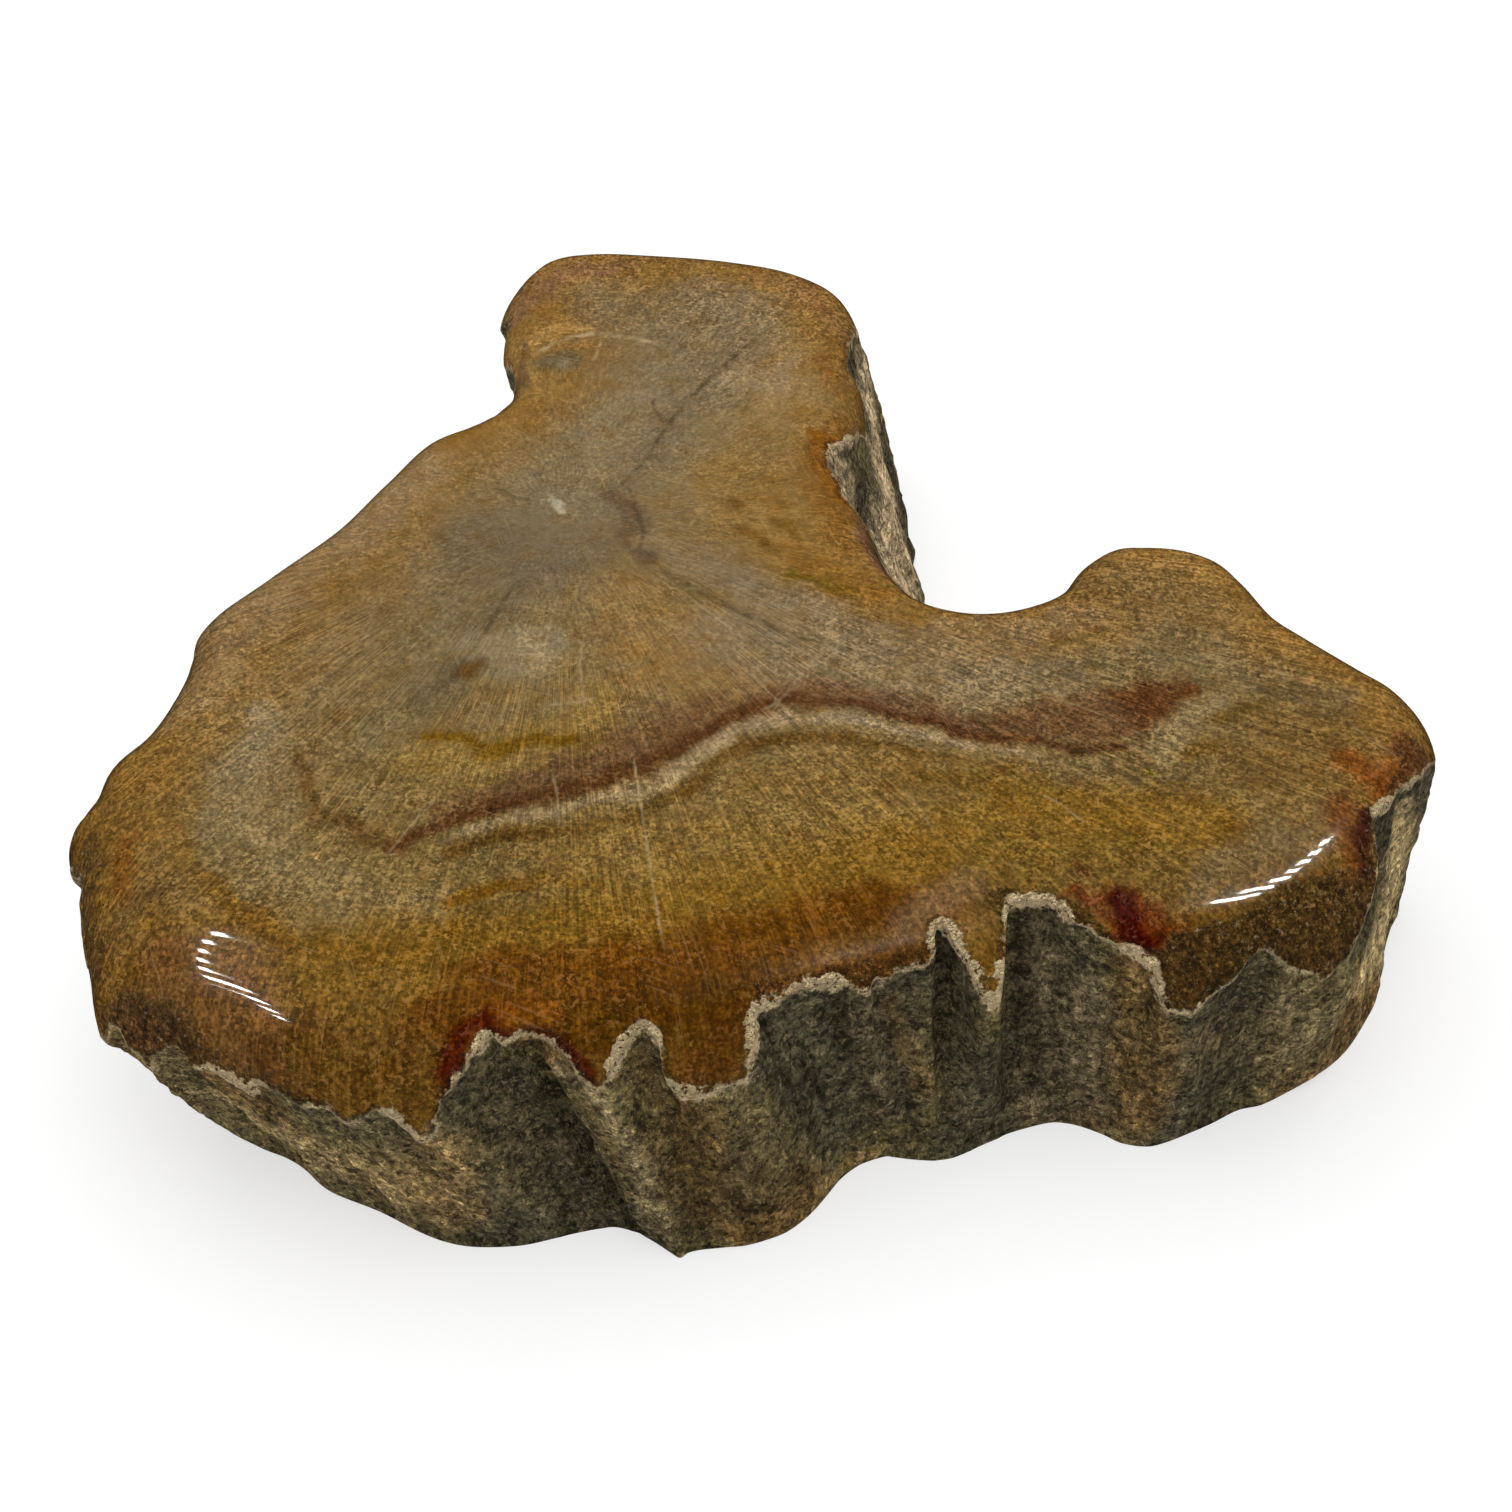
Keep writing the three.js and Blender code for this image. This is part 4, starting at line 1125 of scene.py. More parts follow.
@dataclass(frozen=True)
class PolishedFinish:
    """Silica polished to a gloss: fine rays from the pith, specks of old cells, cracks, scratches.

    Distances and sizes are in millimetres, and tones are numbers of doublings. ray_crowding,
    ray_tones and hatching_turns hold one number for each of two layers. The other pairs are where
    something starts and where it is full.
    """

    roughness: float = 0.22
    coat_roughness: float = 0.05
    pith: Triple = (-27.2, 13.7, 0.0)
    ray_lines: float = 95.0
    ray_stretch: float = 0.11
    ray_noise: Mottle = Mottle(1.0, 2.0, 0.6)
    ray_crowding: Pair = (1.4, 2.6)
    ray_tones: Pair = (0.42, 0.65)
    rays_from_pith: Pair = (8.0, 40.0)
    rays_fade_behind: Pair = (0.0, 30.0)
    rays_lost_behind: float = 0.7
    cell_rows: float = 90.0
    cell_tone: float = 0.34
    cell_push: Mottle = Mottle(1.2, 2.0, 0.6, 0.5)
    patches: Specks = Specks(12.0, 2.0, 0.5, 0.38, 0.62, 0.6)
    patches_least: float = 0.5
    ring_width: float = 1.25
    ring_tone: float = 0.06
    ring_bend: Mottle = Mottle(6.0, 2.0, 0.5, 1.4)
    rings_end: Pair = (6.0, 19.0)
    clouds: Mottle = Mottle(4.0, 3.0, 0.6, 0.16)
    fine_grain: Mottle = Mottle(0.5, 2.0, 0.6, 0.7)
    coarse_grain: Mottle = Mottle(1.5, 3.0, 0.65, 0.42)
    speckled: Specks = Specks(14.0, 2.0, 0.5, 0.4, 0.6, 0.4)
    speckled_far_out: Pair = (25.0, 65.0)
    speckle_gain: float = 0.95
    speckle_least: float = 0.35
    tone_offset: float = 0.06
    faded: Specks = Specks(5.0, 4.0, 0.65, 0.45, 0.64, 0.85)
    fading: Triple = (0.99, 1.04, 1.16)
    aside: Triple = (31.0, 17.0, 0.0)
    deepened: Specks = Specks(3.8, 4.0, 0.65, 0.5, 0.64, 0.5)
    deepening: Triple = (0.86, 0.7, 0.42)
    cream: Tint = Tint(176, 156, 120)
    cream_share: float = 0.08
    fleck_light: float = 1.85
    flecks: Specks = Specks(0.7, 2.0, 0.7, 0.53, 0.64, 0.85)
    fleck_clusters: Specks = Specks(3.0, 2.0, 0.6, 0.44, 0.6, 0.85)
    clusters_least: float = 0.15
    pale_rays: Pair = (0.4, 0.9)
    pale_ray_share: float = 0.4
    pits: Specks = Specks(0.8, 2.0, 0.7, 0.55, 0.68, 0.55)
    pit_light: float = 0.45
    hatching_turns: Pair = (1.25, 0.3)
    hatching_stretch: Triple = (0.09, 2.6, 0.2)
    hatching_lines: Specks = Specks(1.0, 1.0, 0.5, 0.63, 0.75, 0.3)
    hatching_bundles: Specks = Specks(9.0, 2.0, 0.5, 0.5, 0.62)
    hatching_light: float = 1.7
    scratch_share: float = 0.3
    crack: Tint = Tint(70, 56, 36)
    scratch: Tint = Tint(184, 162, 122)
    line_wander: Mottle = Mottle(2.0, 3.0, 0.6, 0.8)
    line_breaks: Specks = Specks(1.6, 2.0, 0.6, 0.36, 0.62, 0.6)
    line_least: float = 0.2
    line_edge: float = 2.2

    def from_pith(self, graph: Graph, place: Socket) -> tuple[Socket, Value]:
        """The way from the pith to a place, in plan, and its length."""
        flat = graph.times(graph.vector("SUBTRACT", {0: place, 1: self.pith}), (1.0, 1.0, 0.0))
        return flat, graph.length(flat)

    def fan(self, graph: Graph, place: Socket, lines: float, stretch: float) -> Socket:
        """Turns a place into its direction and distance from the pith.

        Args:
            graph: the material's graph.
            place: the place on the slab.
            lines: how widely the direction is spread.
            stretch: what the distance, the third number, is multiplied by.

        Returns:
            The turned place.
        """
        flat, distance = self.from_pith(graph, place)
        spread = graph.scaled(graph.vector("NORMALIZE", {0: flat}), lines)
        return graph.plus(spread, graph.whole({2: distance * stretch}))

    def rays(self, graph: Graph, place: Socket, crowding: float) -> Value:
        """Noise drawn out into thin lines that fan out from the pith.

        Args:
            graph: the material's graph.
            place: the place on the slab.
            crowding: how close together the lines are.

        Returns:
            The rays, round zero.
        """
        fan = self.fan(graph, place, self.ray_lines * crowding, self.ray_stretch)
        _, distance = self.from_pith(graph, place)
        behind = graph.parts(place)[1].step(*self.rays_fade_behind)
        clear = distance.step(*self.rays_from_pith) * (1.0 - behind * self.rays_lost_behind)
        return graph.mottle(fan, self.ray_noise) * clear

    def cells(self, graph: Graph, place: Socket) -> Value:
        """Old cells in rows along the rays, pushed about a little so that no row runs true."""
        push = graph.mottle(place, self.cell_push)
        fan = self.fan(graph, place, self.cell_rows, 1.0)
        return graph.cells(graph.plus(fan, graph.whole({0: push, 1: push, 2: push})), 1.0)

    def rings(self, graph: Graph, place: Socket) -> Value:
        """Growth rings round the pith: a wave of the distance, bent by noise, that soon dies away."""
        _, distance = self.from_pith(graph, place)
        bent = distance + graph.mottle(place, self.ring_bend)
        return (bent * (math.tau / self.ring_width)).sine() * (1.0 - distance.step(*self.rings_end))

    def hatching(self, graph: Graph, place: Socket, turn: float) -> Value:
        """Fine sanding scratches that all run one way, in bundles.

        Args:
            graph: the material's graph.
            place: the place on the slab.
            turn: which way they run, in radians.

        Returns:
            The share of scratches.
        """
        inputs = {"Vector": place, "Angle": turn}
        turned = graph.node("ShaderNodeVectorRotate", {"rotation_type": "Z_AXIS"}, inputs).outputs[0]
        lines = graph.specks(graph.times(turned, self.hatching_stretch), self.hatching_lines)
        return lines * graph.specks(turned, self.hatching_bundles)

    def washed(self, graph: Graph, place: Socket, elsewhere: Socket, stain: Socket) -> Socket:
        """The stain with paler and deeper clouds in it.

        Args:
            graph: the material's graph.
            place: the place on the slab.
            elsewhere: the same place moved aside.
            stain: the stain there.

        Returns:
            The colour.
        """
        faded = graph.specks(place, self.faded)
        face = graph.blend(faded, stain, graph.times(stain, self.fading))
        deepened = graph.specks(elsewhere, self.deepened)
        return graph.blend(deepened, face, graph.times(face, self.deepening))

    def lined(self, graph: Graph, place: Socket, face: Socket) -> Socket:
        """A colour with the cracks and the long scratches drawn over it.

        Args:
            graph: the material's graph.
            place: the place on the slab.
            face: the colour there.

        Returns:
            The colour with the lines.
        """
        for name, tint in (("cracks", self.crack), ("scratches", self.scratch)):
            across, strength, _ = graph.parts(graph.attribute(name, "Vector"))
            wandering = abs(across + graph.mottle(place, self.line_wander))
            broken = self.line_least + graph.specks(place, self.line_breaks)
            line = strength * (1.0 - wandering.step(0.0, self.line_edge)) * broken
            face = graph.blend(line, face, tint.socket())
        return face

    def colour(self, graph: Graph, place: Socket, stain: Socket) -> Socket:
        """The stain with the stone's figure over it.

        Args:
            graph: the material's graph.
            place: the place on the slab.
            stain: the stain there.

        Returns:
            The colour of the polished face: clouds, rays, rings, flecks, pits and scratches.
        """
        coarse, fine = (self.rays(graph, place, crowding) for crowding in self.ray_crowding)
        _, distance = self.from_pith(graph, place)
        far_out = distance.step(*self.speckled_far_out) * self.speckle_gain
        speckle = graph.specks(place, self.speckled) + far_out + self.speckle_least
        elsewhere = graph.plus(place, self.aside)
        face = self.washed(graph, place, elsewhere, stain)
        grain = graph.mottle(place, self.fine_grain) + graph.mottle(place, self.coarse_grain)
        rays = coarse * self.ray_tones[0] + fine * self.ray_tones[1]
        rows = rays + self.cells(graph, place) * self.cell_tone
        rows = rows * (graph.specks(place, self.patches) + self.patches_least)
        tone = rows + graph.mottle(place, self.clouds) + grain * speckle
        tone = tone + self.rings(graph, place) * self.ring_tone - self.tone_offset
        face = graph.scaled(face, tone.doublings())
        bright = graph.blend(self.cream_share, graph.scaled(stain, self.fleck_light), self.cream.socket())
        clusters = graph.specks(elsewhere, self.fleck_clusters) + self.clusters_least
        flecks = graph.specks(place, self.flecks) * speckle * clusters
        face = graph.blend(flecks + fine.step(*self.pale_rays) * self.pale_ray_share, face, bright)
        pits = graph.specks(elsewhere, self.pits) * speckle
        face = graph.blend(pits, face, graph.scaled(stain, self.pit_light))
        along, across = (self.hatching(graph, place, turn) for turn in self.hatching_turns)
        light = graph.scaled(stain, self.hatching_light)
        scratched = graph.blend(self.scratch_share, light, self.scratch.socket())
        return self.lined(graph, place, graph.blend(along + across, face, scratched))


@dataclass(frozen=True)
class NaturalFinish:
    """Rough silica of the outside: grains, streaks along the grain, painted glints on the grains, painted
    shade in the pits, and a cream rind at the polish.

    relief is in metres. Grain sizes and tones go together in pairs.
    """

    roughness: float = 0.86
    relief: float = 0.0008
    cream: Tint = Tint(228, 202, 156)
    pale: Tint = Tint(146, 132, 98)
    # Colour of the painted shade in the pits
    dark: Tint = Tint(28, 25, 18)
    streak_stretch: Triple = (1.0, 1.0, 0.2)
    broad_streaks: Mottle = Mottle(2.6, 3.0, 0.7, 0.85)
    fine_streaks: Specks = Specks(0.6, 2.0, 0.6, 0.42, 0.58, 0.4)
    crumbs: Specks = Specks(0.75, 3.0, 0.8, 0.43, 0.57, 0.7)
    lump: Mottle = Mottle(1.8, 3.0, 0.65, 0.6)
    streak_relief: float = 0.7
    crushing: Mottle = Mottle(1.5, 2.0, 0.5, 0.008)
    grain_sizes: Pair = (0.7, 1.5)
    grain_tones: Pair = (0.65, 0.4)
    coarse: Specks = Specks(2.1, 3.0, 0.7, 0.36, 0.64, 0.5)
    fine: Mottle = Mottle(0.7, 2.0, 0.7, 0.35)
    grain_gain: float = 1.25
    clouds: Mottle = Mottle(5.0, 3.0, 0.6, 0.35)
    # Painted glints: pale specks painted in as highlights on the grains
    painted_glints: Specks = Specks(0.8, 2.0, 0.6, 0.56, 0.62, 0.6)
    painted_glint_gain: float = 2.2
    painted_glint_pale: float = 0.5
    # Painted shade: dark specks painted in as shade in the pits
    pits: Specks = Specks(0.9, 3.0, 0.7, 0.55, 0.63, 0.65)
    rind_flakes: Specks = Specks(9.0, 2.0, 0.5, 0.36, 0.56)
    rind_spread: Specks = Specks(4.0, 2.0, 0.5, 0.35, 0.7, 0.9)
    rind_crumbs: Specks = Specks(0.7, 2.0, 0.7, 0.33, 0.46)
    rind_fringe: Mottle = Mottle(0.9, 2.0, 0.7, 0.3)
    rind_width: Pair = (0.1, 0.7)
    rind_top: Pair = (-0.4, 0.1)
    rind_foot: Pair = (-0.2, 0.5)
    rind_shares: Pair = (0.2, 0.7)

    def streaks(self, graph: Graph) -> Value:
        """Noise drawn out along the grain, read from the foot that each place's grain leads down to."""
        grain = graph.times(graph.attribute("grain", "Vector"), self.streak_stretch)
        fine = graph.specks(grain, self.fine_streaks) - self.fine_streaks.strength / 2
        return graph.mottle(grain, self.broad_streaks) + fine

    def lumps(self, graph: Graph, place: Socket) -> Value:
        """Relief of the rough side: coarse grains with crumbs between them, and the grain's streaks."""
        lumps = graph.specks(place, self.crumbs) + graph.mottle(place, self.lump)
        return lumps + self.streaks(graph) * self.streak_relief

    def colour(self, graph: Graph, place: Socket, stain: Socket) -> Socket:
        """The stain with grains and streaks over it, with painted glints on the grains and painted shade in
        the pits.

        Args:
            graph: the material's graph.
            place: the place on the slab.
            stain: the stain there.

        Returns:
            The colour of the rough side.
        """
        crushed = graph.scaled(place, graph.mottle(place, self.crushing) + 1.0)
        kinds = zip(self.grain_sizes, self.grain_tones)
        small, large = (graph.cells(crushed, size) * tone for size, tone in kinds)
        coarse = graph.specks(place, self.coarse) - self.coarse.strength / 2
        grain = small + large + coarse + graph.mottle(place, self.fine)
        tone = grain * self.grain_gain + self.streaks(graph) + graph.mottle(place, self.clouds)
        side = graph.scaled(stain, tone.doublings())
        # Painted glints, pale specks standing in for highlights on the grains
        light = graph.blend(self.painted_glint_pale, graph.scaled(stain, self.painted_glint_gain), self.pale.socket())
        side = graph.blend(graph.specks(place, self.painted_glints), side, light)
        # Painted shade in the pits, near-black specks
        return graph.blend(graph.specks(place, self.pits), side, self.dark.socket())

    def rind(self, graph: Graph, place: Socket, below: Value) -> Value:
        """The cream rind, which runs in ragged flakes under the rim.

        Args:
            graph: the material's graph.
            place: the place on the slab.
            below: how far the place is below the ragged rim.

        Returns:
            The share of rind.
        """
        least, widened = self.rind_width
        thin, thick = self.rind_shares
        clump = graph.number("crust")
        flakes = graph.specks(place, self.rind_flakes)
        width = least + graph.specks(place, self.rind_spread) * flakes + widened * clump
        fringe = below + graph.mottle(place, self.rind_fringe)
        upper = (fringe + clump).step(*self.rind_top)
        lower = 1.0 - (fringe - width).step(*self.rind_foot)
        return upper * lower * (thin + thick * flakes + clump) * graph.specks(place, self.rind_crumbs)


@dataclass(frozen=True)
class RimFinish:
    """Where the polish gives way to the rough side: a ragged edge, dull places and crust."""

    ragged: tuple[Mottle, Mottle] = (Mottle(2.4, 2.0, 0.6, 0.55), Mottle(0.7, 2.0, 0.6, 0.3))
    edge: Pair = (-0.12, 0.15)
    worn_from: float = 1.2
    worn: Pair = (-0.6, 0.8)
    worn_share: float = 0.6
    dull_fringe: Mottle = Mottle(0.8, 2.0, 0.6, 0.2)
    dull_edge: Pair = (0.3, 0.7)
    dull_tones: tuple[Mottle, Mottle] = (Mottle(0.7, 2.0, 0.65, 0.3), Mottle(3.0, 3.0, 0.65, 0.6))
    chaff: Specks = Specks(0.8, 2.0, 0.6, 0.6, 0.72, 0.3)
    crust_tone: Mottle = Mottle(0.8, 3.0, 0.7, 0.9)
    crust_light: float = 0.35
    crust_share: float = 0.9
    crust_relief: Mottle = Mottle(0.7, 2.0, 0.6)
    specular: float = 0.08

    def sum_of(self, graph: Graph, place: Socket, kinds: tuple[Mottle, Mottle]) -> Value:
        """Two noises added up."""
        return graph.mottle(place, kinds[0]) + graph.mottle(place, kinds[1])

    def skin(self, polish: PolishedFinish, natural: NaturalFinish) -> bpy.types.Material:
        """The material of all the slab but its underside.

        Args:
            polish: the finish above the rim.
            natural: the finish below it.

        Returns:
            The material. Which of the two shows is read from the distance below the rim.
        """
        graph = Graph("petrified wood")
        place = graph.place()
        # The stain colours hold real stains together with painted shade, painted light and painted sheen
        stain = graph.attribute("stain", "Color")
        below = graph.number("below_rim") + self.sum_of(graph, place, self.ragged)
        rough = below.step(*self.edge)
        rind = natural.rind(graph, place, below)
        unpolished = graph.number("dull") + (below + self.worn_from).step(*self.worn) * self.worn_share
        dull = (unpolished + graph.mottle(place, self.dull_fringe)).step(*self.dull_edge)
        bare = 1.0 - (1.0 - dull) * (1.0 - rough)
        bald = dull * (1.0 - rough)
        colour = graph.blend(rough, polish.colour(graph, place, stain), natural.colour(graph, place, stain))
        worn = graph.scaled(colour, self.sum_of(graph, place, self.dull_tones).doublings())
        colour = graph.blend(bald, colour, worn)
        colour = graph.blend(graph.specks(place, self.chaff) * bald, colour, natural.cream.socket())
        crust_tone = (self.crust_light + graph.mottle(place, self.crust_tone)).doublings()
        crust = graph.scaled(natural.cream.socket()[:3], crust_tone)
        colour = graph.blend(rind * self.crust_share, colour, crust)
        height = bare * natural.lumps(graph, place) + rind * graph.mottle(place, self.crust_relief)
        inputs = {"Strength": 1.0, "Distance": natural.relief, "Height": height}
        bump = graph.node("ShaderNodeBump", None, inputs)
        return graph.surface(graph.node("ShaderNodeBsdfPrincipled", None, {
            "Base Color": colour,
            "Roughness": polish.roughness + bare * (natural.roughness - polish.roughness),
            "Specular IOR Level": self.specular,
            "Coat Weight": 1.0 - bare,
            "Coat Roughness": polish.coat_roughness,
            "Normal": bump.outputs[0],
        }))


@dataclass(frozen=True)
class SawnFinish:
    """Dull grey-brown stone of the underside, with faint clouds and saw lines."""

    tint: Tint = Tint(120, 106, 80)
    roughness: float = 0.7
    line_stretch: Triple = (0.05, 1.0, 1.0)
    lines: Mottle = Mottle(0.8, 2.0, 0.5)
    clouds: Mottle = Mottle(6.0, 4.0, 0.6)
    tone: Triple = (0.8, 0.5, 0.4)
    relief: Pair = (0.4, 0.0002)

    def skin(self) -> bpy.types.Material:
        """The material of the sawn underside."""
        graph = Graph("sawn underside")
        place = graph.place()
        least, cloudy, lined = self.tone
        strength, depth = self.relief
        lines = graph.noise(graph.times(place, self.line_stretch), self.lines) - 0.5
        tone = least + graph.noise(place, self.clouds) * cloudy + lines * lined
        inputs = {"Strength": strength, "Distance": depth, "Height": lines}
        bump = graph.node("ShaderNodeBump", None, inputs)
        return graph.surface(graph.node("ShaderNodeBsdfPrincipled", None, {
            "Base Color": graph.scaled(self.tint.socket()[:3], tone),
            "Roughness": self.roughness,
            "Normal": bump.outputs[0],
        }))


@dataclass(frozen=True)
class Grain:
    """One size of relief on the rough side: size in millimetres, height, stretch along the grain and
    the shift that sets its noise apart."""

    size: float
    height: float
    stretch: float
    shift: float


@dataclass
class StoneSlice:
    """The slab itself: its rings, its skin and its markings. Lengths are in millimetres."""

    thickness: float = 38.0
    shoulder_roundness: float = 2.2
    drop_per_width: float = 0.8
    drop_at_least: float = 3.2
    box_centre: Pair = (1.5, -4.65)
    samples_per_station: int = 6
    outline_steps: int = 12
    side_rows: int = 42
    side_crowding: float = 1.3
    shoulder_rows: int = 26
    shoulder_crowding: float = 1.5
    lattice: float = 0.6
    lattice_gap: float = 0.6
    place_evening: int = 270
    inward_evening: int = 400
    hollow_evening: int = 140
    grains: tuple[Grain, ...] = (
        Grain(7.0, 0.6, 0.25, 0.0), Grain(2.4, 0.45, 0.3, 50.0), Grain(1.5, 0.28, 1.0, 90.0),
    )
    relief_fade: Pair = (0.05, 0.12)
    rim_teeth: Pair = (3.0, 0.35)
    chips: Triple = (2.6, 0.5, 0.6)
    chip_softness: float = 0.8
    wave_length: float = 22.0
    waves: float = 0.3
    base_face: Tint = Tint(130, 106, 66)
    edge_gold: Tint = Tint(138, 98, 38)
    gold_depth: Pair = (5.0, 22.0)
    gold_share: float = 0.75
    gold_bend: float = 4.0
    cloud_size: float = 14.0
    cloud_tone: float = 0.08
    face_warps: tuple[Pair, Pair] = ((1.2, 1.3), (0.9, 0.6))
    wall_warps: tuple[Pair, Pair] = ((0.9, 0.8), (0.6, 0.3))
    patch_warp: Pair = (1.1, 0.7)
    warp_sizes: Pair = (9.0, 2.4)
    warp_shift: float = 100.0
    crust_strength: float = 0.8
    crust_softness: float = 0.6
    # Painted shade and light over the face: darker and tinted towards the front, lighter towards the back
    front_to_back: Pair = (-75.0, 15.0)
    front_tint_and_painted_shade: Triple = (0.74, 0.71, 0.46)
    back_tint_and_painted_light: Triple = (1.03, 1.05, 1.14)
    wall_tints: tuple[Tint, Tint, Tint] = (Tint(64, 63, 54), Tint(88, 84, 64), Tint(98, 82, 56))
    wall_cloud: Pair = (13.0, 0.3)
    olive_from: Pair = (-0.45, 0.0)
    brown_from: Pair = (0.1, 0.55)
    wall_warmth: Triple = (2.0, 1.72, 1.22)
    # Painted shade in the front hollows of the side and painted light on its ridges
    hollow_shade: float = 0.32
    hollow_range: Pair = (-1.6, 2.2)
    hollows_end: Pair = (-40.0, -10.0)
    noise: LatticeNoise = field(default_factory=lambda: LatticeNoise(11))

    def across_shoulder(self, places: Array) -> tuple[Array, Array]:
        """How far across the polished shoulder places are.

        Args:
            places: (n, 2) places.

        Returns:
            n shares, 1 on the outline and 0 on the flat, and the shoulder's width there.
        """
        index, _ = nearest(places, self.outline[:, :2])
        inward = inward_of(self.outline)[index]
        depth = ((places - self.outline[index, :2]) * inward).sum(axis=1)
        width = self.outline[index, 2]
        return np.clip(1.0 - depth / width, 0.0, 1.0), width

    def dome(self, across: Array, width: Array) -> Array:
        """Height of the polished dome, which falls along a superellipse across the shoulder.

        Args:
            across: shares of the way across the shoulder.
            width: the shoulder's width there.

        Returns:
            Heights.
        """
        drop = self.drop_at_least + self.drop_per_width * width
        power = self.shoulder_roundness
        return self.thickness - drop * (1.0 - (1.0 - across**power) ** (1.0 / power))

    def side_rings(self) -> Array:
        """Rings of the rough side, from the foot to the rim.

        A ring lies at a share of the way along straight lines from the foot to the rim, pushed out by
        ripples, lumps and grain that fade towards both ends.

        Returns:
            (rows, around, 3) points.
        """
        stations = np.array(SIDE_STATIONS)
        count = len(stations) * self.samples_per_station
        rim = closed_curve(stations[:, :2], count)
        foot = closed_curve(stations[:, 2:], count)
        rim = rim + inward_of(rim) * self.rim_jitter(rim)[:, None]
        rim_height = self.dome(*self.across_shoulder(rim)) + self.swelling(rim)
        up = (1.0 - (1.0 - np.linspace(0.0, 1.0, self.side_rows + 1)) ** self.side_crowding)[:, None, None]
        ring = foot * (1 - up) + rim * up
        height = up * rim_height[None, :, None]
        self.grain = np.dstack([np.broadcast_to(foot, ring.shape), height])
        outward = -(inward_of(foot) * (1 - up) + inward_of(rim) * up)
        push = self.side_relief(self.grain.reshape(-1, 3), up).reshape(ring.shape[:2])
        centred = self.centred(np.dstack([ring, height]).reshape(-1, 3))
        for groove in GROOVES:
            push -= groove.depth * line_weight(groove.path, 1.0, centred).reshape(push.shape)
        skin = ring + outward * push[:, :, None]
        evened = evened_out(skin.transpose(1, 0, 2), self.hollow_evening).transpose(1, 0, 2)
        # How far each point of the side lies in a hollow, which sets its painted shade
        self.hollow = ((evened - skin) * outward).sum(axis=2).ravel()
        self.rim_line = np.column_stack([rim, rim_height])
        return np.dstack([skin, height])

    def centred(self, places: Array) -> Array:
        """Places measured from the middle of the slab's box, as the markings are."""
        return places - (*self.box_centre, 0.0)[: places.shape[1]]

    def rim_jitter(self, rim: Array) -> Array:
        """Small bites and teeth of the line where the polish ends.

        Args:
            rim: (n, 2) points of that line.

        Returns:
            n distances inward.
        """
        places = np.column_stack([rim, np.zeros(len(rim))])
        tooth_size, tooth_depth = self.rim_teeth
        chip_size, chip_depth, chip_play = self.chips
        chipped = line_weight(CHIPPED_EDGE, self.chip_softness, self.centred(rim))
        chips = chipped * (chip_depth + chip_play * self.noise.layered(places, chip_size, 2))
        return tooth_depth * self.noise.layered(places, tooth_size, 3) + chips

    def side_relief(self, grain: Array, up: Array) -> Array:
        """Ripples and lumps of the rough side, drawn out along the grain.

        Args:
            grain: (n, 3) places on the grain, row by row.
            up: share of the way from the foot to the rim, for each row.

        Returns:
            n distances outward.
        """
        rows = up.ravel()
        at_foot, at_rim = self.relief_fade
        fade = np.minimum(eased(rows, 0.0, at_foot), eased(1.0 - rows, 0.0, at_rim))
        push = np.zeros(len(grain))
        for kind in self.grains:
            stretched = grain * (1.0, 1.0, kind.stretch) + kind.shift
            push += self.noise.layered(stretched, kind.size, 2) * kind.height
        return np.repeat(fade, len(grain) // len(rows)) * push

    def shoulder_rings(self, rim: Array) -> Array:
        """Rings across the polished shoulder, from just inside the rim to where the face is flat.

        Each point slides straight from its place on the rim to its place on a smooth inner ring, one
        shoulder's width inside the outline, and its height follows the dome.

        Args:
            rim: (around, 2) places of the rim.

        Returns:
            (rows, around, 3) points.
        """
        total = len(self.outline)
        steps = np.arange(len(rim)) * total / len(rim)
        lead = (nearest(rim, self.outline[:, :2])[0] - steps + total / 2) % total - total / 2
        place = evened_out(lead[:, None], self.place_evening)[:, 0] + steps
        edge = between(self.outline, place)
        inward = between(evened_out(inward_of(self.outline), self.inward_evening), place)
        inner = edge[:, :2] + inward * edge[:, 2:]
        across, width = self.across_shoulder(rim)
        along = (np.arange(1, self.shoulder_rows + 1) / self.shoulder_rows)[:, None] ** self.shoulder_crowding
        places = rim + (inner - rim) * along[:, :, None]
        height = self.dome(across * (1.0 - along), np.broadcast_to(width, (self.shoulder_rows, len(width))))
        return np.dstack([places, height + self.swelling(places.reshape(-1, 2)).reshape(height.shape)])

    def swelling(self, places: Array) -> Array:
        """Height added to the dome: waves that die out on the flat, and a bell-shaped mound.

        Args:
            places: (n, 2) places.

        Returns:
            n heights.
        """
        across, _ = self.across_shoulder(places)
        waves = self.noise.layered(np.column_stack([places, across]), self.wave_length, 2)
        away = np.linalg.norm(self.centred(places) - (LEFT_MOUND.x, LEFT_MOUND.y), axis=1)
        return waves * self.waves * across + LEFT_MOUND.height * np.exp(-((away / LEFT_MOUND.radius) ** 2))

